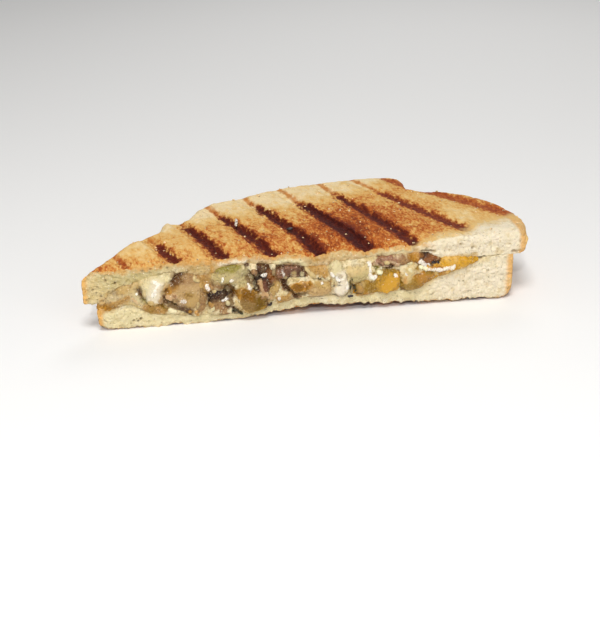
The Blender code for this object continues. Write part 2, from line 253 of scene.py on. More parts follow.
def speckle(place, size, detail=2.0, rough=0.5):
    """Noise from 0 to 1 with lumps of the given size in millimetres."""
    values = {"Vector": place, "Scale": 1 / size, "Detail": detail, "Roughness": rough}
    return place.node("TexNoise", None, values)


def relief(height, depth):
    """A normal for small relief of the given depth in millimetres."""
    return height.node("Bump", None, {"Height": height, "Distance": depth * MM}, output="Normal")


print("steps of a recipe: smooth, blend, ramp, reading, speckle, relief")

# %% [markdown]
# A finish starts from the Principled shader, whose sockets each take a value or a wire. The floor shows how
# little a plain one needs: it is nearly white and matt, so that it bounces light up into the cut.

# %% Start a finish and give the floor one
def new_finish(name):
    """A material, a wire to start its sums from, and its shader."""
    material = bpy.data.materials.new(name)
    material.use_nodes = True
    return material, Wire(material.node_tree), material.node_tree.nodes["Principled BSDF"]


def set_shader(shader, values):
    for name, value in values.items():
        if isinstance(value, Wire):
            value.tree.links.new(value.socket, shader.inputs[name])
        else:
            shader.inputs[name].default_value = value


material, _, shader = new_finish("pale_floor")
set_shader(shader, {"Base Color": tone(243, 242, 240), "Roughness": 0.8})
floor_mesh.materials.append(material)
print("floor at", round(solid_box[0][2] / MM, 2), "mm")

# %% [markdown]
# The solids are made of a few large faces, and torn crumb or melted cheese needs thousands. A voxel
# remesh wraps a solid in an even skin of small faces, and fuses whatever overlaps, so lumps added to a
# piece melt into it. A little smoothing then takes away the steps of the voxels.

# %% Wrap a solid in a fine skin
WELD = 1e-6


def as_object(name, bm):
    mesh = bpy.data.meshes.new(name)
    bm.to_mesh(mesh)
    bm.free()
    made = bpy.data.objects.new(name, mesh)
    scene.collection.objects.link(made)
    return made


def add_lump(bm, x, y, z, wide, deep, high, turn):
    """A smooth lump at a place on the food, turned in the plane of the cut, in millimetres and degrees."""
    scale = Matrix.Diagonal(Vector((wide, deep, high, 1 / MM)) * MM)
    turned = Matrix.Rotation(math.radians(-turn), 4, "Y")
    bmesh.ops.create_icosphere(
        bm, subdivisions=3, radius=1.0, matrix=Matrix.Translation(at(x, y, z)) @ turned @ scale)


def reskin(name, bm, voxel, smoothing):
    """One closed skin of even small faces round all that the bmesh holds."""
    raw = as_object(name, bm)
    modifier = raw.modifiers.new("skin", "REMESH")
    modifier.mode, modifier.voxel_size = "VOXEL", voxel * MM
    graph = bpy.context.evaluated_depsgraph_get()
    bm = bmesh.new()
    bm.from_object(raw, graph)
    bpy.data.objects.remove(raw)
    for _ in range(smoothing):
        bmesh.ops.smooth_vert(
            bm, verts=bm.verts, factor=0.5, use_axis_x=True, use_axis_y=True, use_axis_z=True)
    made = as_object(name, bm)
    made.data.shade_smooth()
    return made


def solid_copy(node):
    """A bmesh of a solid, its loose triangles merged."""
    bm = bmesh.new()
    bm.from_mesh(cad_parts[node].data)
    bmesh.ops.remove_doubles(bm, verts=bm.verts, dist=WELD)
    return bm


print("solids:", ", ".join(sorted(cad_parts)))

# %% [markdown]
# A dressed piece moves with the same body as the rest of the food, and the solids that it stands for are
# hidden. Every piece below goes through one function for that, which also prints the name of its slot.

# %% Attach a piece and hide its solids
def triangles(piece):
    return sum(len(face.vertices) - 2 for face in piece.data.polygons)


def dress(piece, slot, *nodes):
    """Lets a piece go with the sandwich, hides the solids it stands for and prints its slot."""
    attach(piece, "root")
    if nodes:
        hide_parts(*nodes)
    print(piece.name, "in slot", slot, "has", triangles(piece), "triangles")


print("every piece rides on the body named root")

# %% [markdown]
# Real crumb and cheese are uneven at several sizes at once. Moving the points of a skin by smooth noise
# is what a sculpting brush does, but it comes out the same on each run. The noise is a cube of random
# numbers that repeats, read with an even blend between its cells.

# %% Make smooth noise
NOISE_CELLS = 32


def unevenness(points, size, seed):
    """Smooth noise from -1 to 1 at each point, with lumps of the given size in millimetres."""
    table = np.random.default_rng(seed).uniform(-1, 1, (NOISE_CELLS,) * 3)
    cells = points / size
    low = np.floor(cells).astype(int)
    share = cells - low
    share = share * share * (3 - 2 * share)
    total = np.zeros(len(points))
    for corner in np.ndindex(2, 2, 2):
        weight = np.prod(np.where(corner, share, 1 - share), axis=1)
        index = (low + corner) % NOISE_CELLS
        total += weight * table[index[:, 0], index[:, 1], index[:, 2]]
    return total


def smooth_step(low, high, values):
    share = np.clip((values - low) / (high - low), 0, 1)
    return share * share * (3 - 2 * share)


print("noise at the middle of the cut:", unevenness(np.full((1, 3), 0.5), 1.0, 1).round(2))

# %% [markdown]
# A finish needs to know more of a point than its place, such as how near the crust is or how wet the food is
# there. An attribute keeps one number for each point, and the shader reads it by name. Points are moved with
# the solids' box as a limit, so that the dressed food is never larger than its solids.

# %% Read, move and note points
def points_of(piece):
    """The points of a piece in millimetres from the middle of the cut, and its normals there."""
    count = len(piece.data.vertices)
    points, normals = np.empty(3 * count), np.empty(3 * count)
    piece.data.vertices.foreach_get("co", points)
    piece.data.vertex_normals.foreach_get("vector", normals)
    return (points.reshape(-1, 3) - np.array(CUT_MIDDLE)) / MM, normals.reshape(-1, 3)


BOX_LOW = (np.array(solid_box[0]) - np.array(CUT_MIDDLE)) / MM
BOX_HIGH = (np.array(solid_box[1]) - np.array(CUT_MIDDLE)) / MM


def move_points(piece, points):
    """Gives a piece new points, kept inside the solids' box."""
    inside = np.clip(points, BOX_LOW, BOX_HIGH)
    piece.data.vertices.foreach_set("co", (inside * MM + np.array(CUT_MIDDLE)).ravel())
    piece.data.update()


def note(piece, name, values):
    """Keeps one number for each point, which a finish can read."""
    layer = piece.data.attributes.new(name, "FLOAT", "POINT")
    layer.data.foreach_set("value", np.asarray(values, np.float32))


print("box in millimetres from the cut", BOX_LOW.round(1), BOX_HIGH.round(1))

# %% [markdown]
# The cut shows dozens of small bits of food that run into one another, which no single colour can give. A
# brush is closer to it. Its stroke follows a path in the plane of the cut, has a soft and slightly ragged
# edge, and does three things at once: it tints the skin, presses it in or lifts it out, and notes how wet
# it is there. Not every tint is the food's own colour: dark strokes pressed into creases and hollows are
# painted shade, and light strokes on wet spots are painted highlights.

# %% Paint with strokes
BRUSH_DEPTH = 6.0
BRUSH_SEED = 5
LIFT = 1.7


def distance_to(places, path):
    """Millimetres in the plane of the cut from each place to a path of x, z, x, z and so on."""
    stops = np.reshape(path, (-1, 2))
    nearest = np.hypot(*(places - stops[0]).T)
    for first, second in zip(stops, stops[1:]):
        way = second - first
        share = np.clip((places - first) @ way / (way @ way), 0, 1)
        nearest = np.minimum(nearest, np.hypot(*(places - first - share[:, None] * way).T))
    return nearest


def brush(piece, strokes, warp=0.0):
    """Paints strokes on a skin and presses them in or lifts them out of the cut.

    A stroke is its path, half its width, how far it stands out, its strength and its tone. Later
    strokes cover earlier ones, and the warp bends them all by up to so many millimetres. A stroke in one
    of the two spark tones is a painted highlight on a wet spot and is noted by itself.
    """
    points, normals = points_of(piece)
    flat = points * (1, 0, 1)
    waver = 0.20 * unevenness(flat, 1.6, BRUSH_SEED) + 0.24 * unevenness(flat, 0.6, BRUSH_SEED + 1)
    bend = [
        unevenness(flat, 2.4, seed) + 0.5 * unevenness(flat, 0.9, seed + 1)
        + 0.5 * unevenness(flat, 0.45, seed + 5) for seed in (BRUSH_SEED + 2, BRUSH_SEED + 4)]
    places = flat[:, ::2] + warp * np.column_stack(bend)
    colour, (amount, lift, spark) = np.zeros((len(points), 3)), np.zeros((3, len(points)))
    for path, half, rise, strength, shade in strokes:
        stops = np.reshape(path, (-1, 2))
        margin = 2 * half + warp
        low, high = stops.min(0) - margin, stops.max(0) + margin
        near = np.flatnonzero(np.all((places > low) & (places < high), axis=1))
        away = distance_to(places[near], path) / half + waver[near]
        soft = 0.60 + 0.20 * min(half / 2, 1)
        share = strength * (1 - smooth_step(1 - soft, 1 + soft, away))
        # A spark-tone stroke is a painted highlight: it is noted as spark instead of tinting the skin
        if shade in PAINTED_HIGHLIGHT_TONES:
            spark[near] = np.maximum(spark[near], share)
            rise *= 0.5
        else:
            colour[near] += (np.array(TONES[shade][:3]) - colour[near]) * share[:, None]
            amount[near] += (1 - amount[near]) * share
        lift[near] += LIFT * rise * (1 - smooth_step(0.0, 1.4, away))
    layer = piece.data.attributes.new("paint", "FLOAT_COLOR", "POINT")
    colour = colour / np.maximum(amount, 1e-6)[:, None]
    layer.data.foreach_set("color", np.column_stack([colour, amount]).astype(np.float32).ravel())
    facing = smooth_step(0.1, 0.6, -normals[:, 1]) * smooth_step(BRUSH_DEPTH, 0.5 * BRUSH_DEPTH, points[:, 1])
    note(piece, "wet", smooth_step(0.15, 0.45, lift) * facing)
    # spark: where the finish paints a highlight
    note(piece, "spark", spark * facing)
    points[:, 1] -= lift * facing
    move_points(piece, points)


print("strokes reach up to", BRUSH_DEPTH, "mm behind the cut")

# %% [markdown]
# The grill marks are straight bands that fan out to the right. Where a rib pressed hard the crust is
# nearly black, and towards the back of the slice only a thin brown line is left of it. A mark is
# therefore a line, a width, a darkness and the place where its dark part ends.

# %% Lay out the grill marks
MARK_FRONT = (-59.6, 16.6)
MARK_REAR = (-78.2, 17.05)
MARK_REAR_Y = 50.0
MARK_FAN = (6, 7.0, 1.65)
MARK_SLANT = 0.945
MARKS = (
    (1.7, 0.42, 9.0), (2.2, 0.80, 18.0), (2.4, 0.84, 34.0), (2.4, 0.86, 41.0), (2.5, 0.90, 49.0),
    (3.2, 0.94, 48.0), (2.3, 0.84, 55.0), (2.5, 0.62, 55.0), (3.4, 0.36, 70.0),
)
LINE_WIDE = 1.25
MARK_FADE = 6.5
MARK_START = 0.6
MARK_TAPER = 0.45
OUTSIDE = -9.0


def mark_line(number, y):
    """Where the middle of a mark runs along x, in millimetres."""
    start, widening, power = MARK_FAN
    fan = widening * max(0.0, number - start) ** power
    front = MARK_FRONT[0] + MARK_FRONT[1] * number + fan
    rear = MARK_REAR[0] + MARK_REAR[1] * number
    return front + (rear - front) * y / MARK_REAR_Y


def grill_marks(points):
    """How far inside a dark mark and inside its brown line each point is, and how burnt the mark is."""
    count = len(points)
    inside, line, burnt = np.full(count, OUTSIDE), np.full(count, OUTSIDE), np.zeros(count)
    for number, (wide, dark, dark_end) in enumerate(MARKS):
        off = np.abs(points[:, 0] - mark_line(number, points[:, 1])) * MARK_SLANT
        faded = smooth_step(dark_end - MARK_FADE, dark_end + MARK_FADE, points[:, 1])
        faded = np.maximum(faded, 0.7 * smooth_step(MARK_START + 1.5, MARK_START - 1.5, points[:, 1]))
        narrowing = 1 - MARK_TAPER * np.clip(points[:, 1] / dark_end, 0, 1)
        depth = wide * narrowing * (1 - 1.6 * faded) - off
        nearer = depth > inside
        inside = np.where(nearer, depth, inside)
        burnt = np.where(nearer, dark * (1 - 0.55 * faded), burnt)
        line = np.maximum(line, LINE_WIDE - off)
    return inside, line, burnt


print(len(MARKS), "marks,", round(MARK_FRONT[1], 1), "mm apart")

# %% [markdown]
# Bread browns where it touches the plate. Here the crust is darkest near the front between the fifth and
# seventh marks, and pale in a band along the back where the press hardly touched it. The browning is a
# base value with soft ovals added to it or taken away.

# %% Spread the browning over the crust
BROWNING = 0.42
BROWN_SPOTS = (
    (22.0, 20.0, 13.0, 24.0, 0.30), (12.0, 14.0, 10.0, 16.0, 0.22), (33.0, 10.0, 12.0, 12.0, 0.12),
    (-3.0, 12.0, 9.0, 12.0, 0.16), (-20.0, 8.0, 12.0, 10.0, 0.08), (52.0, 60.0, 4.0, 8.0, 0.34),
    (77.0, 30.0, 6.0, 10.0, 0.14), (50.0, 12.0, 8.0, 9.0, 0.12), (48.0, 30.0, 10.0, 8.0, 0.08),
    (-60.0, 9.0, 7.0, 7.0, -0.12), (-42.0, 30.0, 5.0, 5.0, -0.18), (54.0, 44.0, 8.0, 7.0, -0.12),
    (62.0, 20.0, 8.0, 14.0, -0.20), (-54.0, 15.0, 4.0, 5.0, -0.24),
    (-46.0, 27.0, 4.0, 5.0, -0.24), (-33.0, 40.0, 5.0, 7.0, -0.14), (38.0, 24.0, 8.0, 12.0, 0.14),
    (-32.0, 42.0, 8.0, 9.0, -0.20), (-68.0, 0.0, 4.0, 3.0, 0.22),
)
PALE_BAND = ((-80, 30), (-50, 34), (-30, 36), (-15, 39), (0, 41), (15, 46), (30, 54), (45, 64), (80, 90))
PALE_DEPTH = 0.36


def along(points, line):
    """Reads a line of x and y places at each point's x."""
    places, values = zip(*line)
    return np.interp(points[:, 0], places, values)


def browning(points):
    value = np.full(len(points), BROWNING)
    for x, y, wide, deep, amount in BROWN_SPOTS:
        reach = ((points[:, 0] - x) / wide) ** 2 + ((points[:, 1] - y) / deep) ** 2
        value += amount * np.exp(-reach)
    return value - PALE_DEPTH * smooth_step(-10, 9, points[:, 1] - along(points, PALE_BAND))


print("browning spots:", len(BROWN_SPOTS))

# %% [markdown]
# The knife left two more traces. It pressed the upper edge of the cut down by about a millimetre in places,
# and at the right corner the crust tore away from the crumb. Both follow a line of places along the cut,
# read evenly in between.

# %% Crush the edge and tear the corner
CRUSHED = (
    (-72, 0.4), (-63, 1.1), (-50, 0.9), (-40, 0.3), (-34, 0), (10, 0), (18, 1.0), (28, 1.3), (38, 1.2),
    (43, 0.4), (46, 0))
CRUSH_DEPTH = 6.0
RAW_LINE = ((38, -1.5), (41, -0.5), (60, 5), (66, 10), (83, 17))


def crush(points):
    """Lowers the upper edge of the cut where the knife pressed it down, and less what lies under it."""
    near = (1 - np.clip(points[:, 1] / CRUSH_DEPTH, 0, 1)) ** 2
    drop = along(points, CRUSHED) * near * smooth_step(15, 22, points[:, 2])
    return points - np.outer(drop, (0, 0, 1))


def untoasted(points):
    """Millimetres past the line where the crust of the right corner tore away, below 0 where it is whole."""
    past = along(points, RAW_LINE) - points[:, 1]
    return np.where(points[:, 0] > RAW_LINE[0][0], past, OUTSIDE)


print("the edge is pressed down by up to", max(drop for _, drop in CRUSHED), "mm")

# %% [markdown]
# The cut is seen from close by, so its faces are split once more than the rest. Where the crust and the
# filling begin is measured instead of drawn: a ray sent through the solid from a point on the cut tells how
# many millimetres of bread lie between the point and the surface.

# %% Split and measure the cut
CUT_STRIP = 3.2
PROBE = 0.7
FAR = 9.0


def add_fine_strip(piece):
    """Splits the faces along the cut once more, because they are seen from close by."""
    bm = bmesh.new()
    bm.from_mesh(piece.data)
    strip = [face for face in bm.faces if face.calc_center_median().y < at(0, CUT_STRIP, 0).y]
    edges = {edge for face in strip for edge in face.edges}
    bmesh.ops.subdivide_edges(bm, edges=list(edges), cuts=1, use_grid_fill=True)
    bm.to_mesh(piece.data)
    bm.free()
    piece.data.shade_smooth()


def reach(tree, points, chosen, way):
    """Millimetres through the solid from each chosen point to its surface, and FAR for the others."""
    found = np.full(len(points), FAR)
    for index in np.flatnonzero(chosen):
        x, y, z = points[index]
        hit = tree.ray_cast(at(x, max(y, 0.0) + PROBE, z), way, FAR * MM)
        found[index] = hit[3] / MM if hit[0] else FAR
    return found


def slice_depths(points, node, crust_up):
    """Millimetres of bread from each point at the cut to the crust, and from it to the filling."""
    bm = solid_copy(node)
    tree = BVHTree.FromBMesh(bm)
    bm.free()
    at_cut = points[:, 1] < CUT_STRIP
    return [reach(tree, points, at_cut, Vector((0, 0, way))) for way in (crust_up, -crust_up)]


print("the strip with smaller faces is", CUT_STRIP, "mm deep")

# %% [markdown]
# A slice has three kinds of surface. The pressed outside is crust, the cut face is open crumb with a
# toasted line along its edge, and the rim is the loaf's own baked crust. Which of them a point lies on
# follows from the way its normal points, and the results are noted for the finish to read.

# %% Tell crust, crumb and rim apart
CUT_FACE = 1.4
SLICE_ENDS = {1: (-75.5, 80.0), -1: (-71.0, 75.8)}
LESS_TOAST_BELOW = 1.0
INNER_DEPTH = (8, 4)


def slice_surfaces(points, normals, to_crust, crust_up):
    """What the finish needs to know of each point of a slice. The crust is up (1) or down (-1)."""
    cut = smooth_step(0.25, 0.7, -normals[:, 1]) * (points[:, 1] < CUT_FACE)
    facing = normals[:, 2] * crust_up
    left, right = SLICE_ENDS[crust_up]
    inside, line, burnt = grill_marks(points)
    return {
        "cut": cut,
        "grilled": smooth_step(0.15, 0.55, facing) * (1 - cut),
        "inner": smooth_step(0.15, 0.55, -facing) * (1 - cut) * smooth_step(*INNER_DEPTH, points[:, 1]),
        "inside_mark": inside,
        "inside_line": line,
        "burnt": burnt,
        "toast": browning(points),
        "untoasted": untoasted(points) if crust_up > 0 else np.full(len(points), OUTSIDE),
        "to_crust": to_crust + (0.0 if crust_up > 0 else LESS_TOAST_BELOW),
        "to_side": np.minimum(points[:, 0] - left, right - points[:, 0]),
    }


print("ends of the slices along x:", SLICE_ENDS)

# %% [markdown]
# Each surface has its own roughness. Crumb has pits, crust has low waves and is pressed in at the marks,
# and both edges of the cut are torn, the upper one most. At the right corner the bare crumb is rounded off.
# All of it is added to the points of the skin, because it shows in the outline and in the shadows.

# %% Roughen, tear and round a slice
EDGE_TEAR = {1: 0.50, -1: 0.22}
CORNER_RADIUS = 3.0
TOUCH = 0.5
TOUCH_START, TOUCH_FULL = 48, 60


def roughened(points, normals, surfaces):
    """The points of a slice with the pits of its crumb and the waves and marks of its crust."""
    pits = smooth_step(0.35, 0.8, unevenness(points, 1.3, 3))
    pits += 0.6 * smooth_step(0.35, 0.8, unevenness(points, 2.6, 4))
    crumb = 0.24 * unevenness(points, 2.8, 1) + 0.24 * unevenness(points, 0.9, 2) - 0.30 * pits
    crust = 0.16 * unevenness(points, 3.4, 8) + 0.15 * unevenness(points, 1.2, 9) - 0.16
    pressed = smooth_step(-0.6, 0.6, surfaces["inside_mark"] + unevenness(points, 1.5, 10))
    crust -= 0.24 * pressed * surfaces["grilled"] * surfaces["burnt"]
    cut = surfaces["cut"]
    return points + normals * (cut * crumb + (1 - cut) * crust)[:, None]


def tear_edges(moved, points, corner, to_crust, to_filling, crust_up):
    """Frays the crust's edge and the lip at the filling, and closes the lips where the slices touch."""
    at_cut = points[:, 1] < CUT_STRIP
    edge = at_cut * (1 - smooth_step(0.2, 1.6, to_crust)) * (1 - corner)
    coarse = EDGE_TEAR[crust_up] * unevenness(points, 1.7, 11)
    moved[:, 2] += edge * (coarse + 0.42 * unevenness(points, 0.8, 12))
    moved[:, 1] += edge * 0.6 * np.abs(unevenness(points, 1.8, 13))
    lip = at_cut * (1 - smooth_step(0.2, 1.4, to_filling))
    moved[:, 2] += lip * (0.22 * unevenness(points, 2.0, 14) + 0.16 * unevenness(points, 0.9, 15))
    moved[:, 2] -= crust_up * TOUCH * lip * smooth_step(TOUCH_START, TOUCH_FULL, points[:, 0])


def round_corner(moved, points, corner, depth):
    """Rounds the edge between the cut and the top, where a point lies at some depth under the top."""
    back = np.clip(points[:, 1], 0, CORNER_RADIUS) / CORNER_RADIUS
    below = np.clip(depth, 0, CORNER_RADIUS) / CORNER_RADIUS
    angle = math.pi / 4 * (1 + back - below)
    moved[:, 1] += corner * CORNER_RADIUS * (1 - np.cos(angle) - back) * (below < 1)
    moved[:, 2] -= corner * CORNER_RADIUS * (1 - np.sin(angle) - below) * (below < 1)


print("the corner is rounded by", CORNER_RADIUS, "mm")

# %% [markdown]
# With these steps a slice is quickly made: wrap its solid in a skin, split the cut, measure, note, roughen.
# The lower slice lies with its crust down, so the same steps run with the sign turned.

# %% Model the two slices
SLICE_VOXEL = 0.62


def make_slice(name, node, crust_up):
    piece = reskin(name, solid_copy(node), SLICE_VOXEL, 1)
    add_fine_strip(piece)
    points, normals = points_of(piece)
    to_crust, to_filling = slice_depths(points, node, crust_up)
    surfaces = slice_surfaces(points, normals, to_crust, crust_up)
    for kind, values in surfaces.items():
        note(piece, kind, values)
    moved = roughened(points, normals, surfaces)
    corner = (points[:, 1] < CUT_STRIP) * (points[:, 0] > RAW_LINE[0][0]) * (crust_up > 0)
    corner = corner * smooth_step(0.0, 5.0, along(points, RAW_LINE))
    tear_edges(moved, points, corner, to_crust, to_filling, crust_up)
    round_corner(moved, points, corner, np.where(surfaces["grilled"] > 0.5, 0.0, to_crust))
    move_points(piece, crush(moved))
    return piece


upper = make_slice("upper_slice", "bread_upper", 1)
lower = make_slice("lower_slice", "bread_lower", -1)
print("points:", len(upper.data.vertices), "in the upper slice,", len(lower.data.vertices), "in the lower")

# %% [markdown]
# The crumb isn't one colour along the cut. It is cream at the left, soaked to a tan in the middle where
# the filling ran into it, and a clean pinkish white at the right. These are painted on as long soft
# strokes, the way a colour attribute is painted by hand. A few short dark strokes are painted shade in the
# creases at the ends of the slices and under the filling, and a few deep pores are pressed in and painted
# dark as the shade in them.

# %% Tint the crumb
UPPER_TINTS = (
    ((-46, 22, -30, 20.6, 10, 21.2, 27, 22), 3.2, 0, 1, "wheat"), ((-73, 16, -50, 18), 7, 0, 1, "straw"),
    ((-73, 18, -70, 13), 3, 0, 0.8, "biscuit"), ((-66, 13.2, -55, 15.6), 1.6, 0, 0.8, "toffee"),
    # The bark and chestnut strokes at x -73 to -71 are painted shade in the crease at the slice's left end
    ((-68.5, 10.8, -64, 10.4), 1.4, 0, 0.9, "amber"), ((-73.2, 8.8, -71, 8.4), 1.2, -0.4, 0.9, "bark"),
    ((-72.2, 9.6, -71.2, 8.8), 0.4, -0.4, 1, "chestnut"), ((-58, 21, -45, 21.4), 1.6, 0, 0.9, "straw"),
    ((-46, 19.5, -42, 20.8), 1.4, 0, 0.9, "oat"), ((-36, 19.5, -32, 14), 3.4, 0, 1, "toffee"),
    ((-31.8, 21.6, -31.4, 18.6), 0.8, 0, 0.8, "amber"),
    ((-28.8, 21.4, -24, 21.9, -20.2, 21.9), 0.75, 0.2, 1, "milk"),
    ((-19.4, 20.2, -16.6, 20.6), 0.9, 0, 1, "toffee"), ((-15.6, 21.7, -11.4, 22), 0.9, 0, 0.9, "rose"),
    ((-9.8, 20.4, -5, 20.9, -1.6, 20.4, 1, 18.4), 0.8, 0.2, 1, "cream"),
    ((2.2, 20.6, 8.6, 20), 1.5, 0, 0.9, "caramel"), ((2.4, 17.8, 8, 17.4), 1.4, 0, 1, "wheat"),
    ((10.8, 21.4, 20, 21.7), 1, 0, 0.9, "biscuit"), ((9.6, 19.6, 21.4, 19.4), 1.3, 0, 1, "wheat"),
    ((20.6, 20.4, 26.4, 20.8), 1, 0, 0.9, "oat"), ((27.2, 21.6, 38, 22), 1.1, 0.2, 1, "cream"),
    ((39.6, 22.4, 40.4, 19.6), 1.3, 0, 1, "caramel"), ((42.4, 22.8, 46, 22.2), 0.9, 0, 1, "apricot"),
    ((45.6, 21.4), 0.6, 0, 0.9, "biscuit"), ((52, 21.5, 78, 22), 7.5, 0, 1, "milk"),
    ((46, 25.4, 60, 27.2), 1.3, 0, 0.7, "cream"), ((48.6, 17.4, 62, 17.8), 0.7, 0, 0.8, "honey"),
    # The nut stroke at x 75 to 79 is a painted shadow line under the slice's right end
    ((75.4, 18.1, 78.8, 17.5), 0.5, -0.3, 0.7, "nut"), ((42, 20.8, 46.6, 20.4), 0.4, -0.3, 0.9, "umber"),
)
LOWER_TINTS = (
    ((-69, 4.2, -48, 3), 4.2, 0, 1, "cream"), ((-69.6, 7.6, -63.6, 9.8), 1.5, 0, 1, "amber"),
    ((-70.4, 8, -69.6, 3), 0.7, 0, 0.8, "caramel"), ((-54, 7, -48, 5.6), 1.2, 0, 1, "toffee"),
    # The pewter stroke at x -45 to -41 is a painted shadow under the filling
    ((-46.4, 6.2, -44.4, 5), 0.7, 0.2, 0.9, "milk"), ((-45.4, 5, -40.6, 3.4), 0.5, -0.3, 0.7, "pewter"),
    ((-40, 2.4, 4, 4.4), 2.8, 0, 0.9, "cream"), ((2, 7, 15, 7), 0.5, 0, 0.8, "wheat"),
    ((18, 5, 48, 5.2), 2.8, 0, 0.9, "cream"), ((19, 6, 25, 6.2), 0.6, 0, 1, "caramel"),
    ((54, 7, 76, 8), 9, 0, 1, "milk"), ((43, 8, 50, 11.6, 58, 14), 1.3, 0, 0.8, "biscuit"),
    ((45.4, 10.4, 46.8, 11.6), 1.1, 0, 0.8, "apricot"), ((34.4, 7.3, 37.2, 7.1), 0.4, -0.2, 0.9, "rust"),
    ((56, 14.4, 66, 15.6), 0.9, 0, 0.6, "biscuit"),
)
HOLLOWS = (
    (-67.2, 18.2, 0.5), (-70.4, 14.2, 0.4), (-69.0, 12.8, 0.4), (-71.6, 15.4, 0.4), (-54.8, 20.6, 0.6),
    (-52.0, 21.2, 0.5), (-50.6, 22.2, 0.4), (-48.6, 21.6, 0.5), (-46.4, 21.2, 0.5), (-64.0, 17.2, 0.4),
    (-58.6, 3.0, 0.5), (-57.2, 2.6, 0.4), (-56.2, 3.4, 0.4), (56.0, 22.0, 0.5), (60.2, 20.4, 0.4),
)
# Each hollow is pressed in and painted dark in bark as the shade in it
hollows = tuple(((x, z), wide, -0.6, 0.9, "bark") for x, z, wide in HOLLOWS)
brush(upper, UPPER_TINTS + hollows)
brush(lower, LOWER_TINTS + hollows)
print("tints:", len(UPPER_TINTS), "above,", len(LOWER_TINTS), "below")

# %% [markdown]
# Crust is dough that browned, from cream through gold to brown, with pale flakes. A rib leaves a thin brown
# line, and where it pressed hard a burnt mark with a ragged edge and a brown halo. Noise of two sizes breaks
# up every border, because heat never follows a clean line. The rim is the loaf's own darker crust.

# %% Mix the crust
def bread_noise(start):
    """Places in millimetres, the same drawn out along y, and noise of three sizes about 0."""
    place = in_millimetres(start)
    drawn = place.node("VectorMath", {"operation": "MULTIPLY"}, {0: place, 1: (1.0, 0.55, 1.0)})
    return (
        place, drawn, speckle(place, 8.0) - 0.5, speckle(drawn, 2.0) - 0.5,
        speckle(drawn, 0.9, 2.0, 0.6) - 0.5)


def crust_colour(start, noise):
    """The colour of the crust, and how far into a mark it is."""
    place, drawn, broad, middle, fine = noise
    inside, burnt = reading(start, "inside_mark"), reading(start, "burnt")
    halo = smooth(inside + middle * 2.4, -3.0, 0.4) * burnt
    toast = reading(start, "toast") + broad * 0.38 + middle * 0.62 + halo * 0.22
    toast = toast + fine * 0.95 * smooth(toast, 0.12, 0.50)
    crust = ramp(
        toast, (0.02, tone(233, 208, 160)), (0.24, tone(224, 186, 120)), (0.44, tone(213, 160, 86)),
        (0.68, tone(182, 98, 40)), (0.92, tone(128, 56, 24)))
    flake = smooth(speckle(drawn, 1.0, 1.0), 0.62, 0.70) * smooth(toast, 0.30, 0.6)
    crust = blend(crust, tone(240, 188, 116), flake * 0.55)
    line = smooth(reading(start, "inside_line") + middle * 2.2 + fine * 1.2, -0.4, 1.0)
    crust = blend(crust, tone(188, 116, 48), line * 0.85)
    edge = smooth(inside + middle * 4.4 + fine * 3.0, -0.9, 0.8)
    heat = burnt * (0.62 + smooth(inside, -0.4, 1.4) * 0.38) + middle * 0.4 + fine * 0.7
    mark = ramp(
        heat, (0.18, tone(186, 108, 48)), (0.40, tone(152, 72, 32)), (0.66, tone(106, 40, 22)),
        (1.00, tone(62, 19, 15)))
    crust = blend(crust, mark, edge)

    rim = ramp(
        speckle(place, 3.0) + fine * 0.5, (0.25, tone(190, 126, 54)), (0.55, tone(222, 168, 88)),
        (0.80, tone(168, 96, 40)))
    return blend(rim, crust, reading(start, "grilled")), edge


print("noise of 8, 2 and 0.9 mm breaks up the crust")

# %% [markdown]
# Open crumb is pale dough full of pores, with the tints painted on above. It is toasted along the crust and
# baked at the rim. Large soft hollows and small pores are two noises of their own, each let through only
# where it is strong, and both are painted darker as the shade in them. The crumb furthest from the pores
# is painted lighter.

# %% Mix the crumb
def crumb_colour(start, noise):
    """The colour of the crumb, and the noise of its pores."""
    place, _, _, middle, fine = noise
    paint_colour, paint_share = reading(start, "paint", "Color"), reading(start, "paint", "Alpha")
    crumb = ramp(
        speckle(place, 3.2, 3.0), (0.30, tone(220, 202, 156)), (0.55, tone(234, 220, 182)),
        (0.75, tone(242, 230, 204)))
    crumb = blend(crumb, paint_colour, paint_share * (0.80 + (speckle(place, 1.8) - 0.5) * 0.9))
    toasted = reading(start, "to_crust") + middle * 2.6 + fine * 1.8
    whole = smooth(reading(start, "untoasted"), -1.0, -4.0)
    crumb = blend(crumb, tone(204, 150, 80), smooth(toasted, 1.7, 0.2) * 0.8 * whole)
    baked = reading(start, "to_side") + middle * 0.9
    crumb = blend(crumb, tone(224, 170, 94), smooth(baked, 3.0, 1.0) * 0.85)
    pores = speckle(place, 0.85, 2.0, 0.6)
    hollows = speckle(place, 2.4, 1.0)
    # Painted shade in the hollows and pores, and a lighter tone furthest from the pores
    crumb = blend(crumb, tone(206, 182, 132), smooth(hollows, 0.58, 0.70) * 0.50)
    crumb = blend(crumb, tone(150, 130, 88), smooth(pores, 0.63, 0.69) * 0.60)
    crumb = blend(crumb, tone(250, 240, 218), smooth(pores, 0.36, 0.28) * 0.60)
    return crumb, pores


print("the crumb has pores of 0.85 mm and hollows of 2.4 mm")

# %% [markdown]
# The bread's finish lays one surface over the other in the order of the real thing: crust first, and crumb
# wherever the crust was cut or torn away. Bread is matt, so the shader has next to no shine.

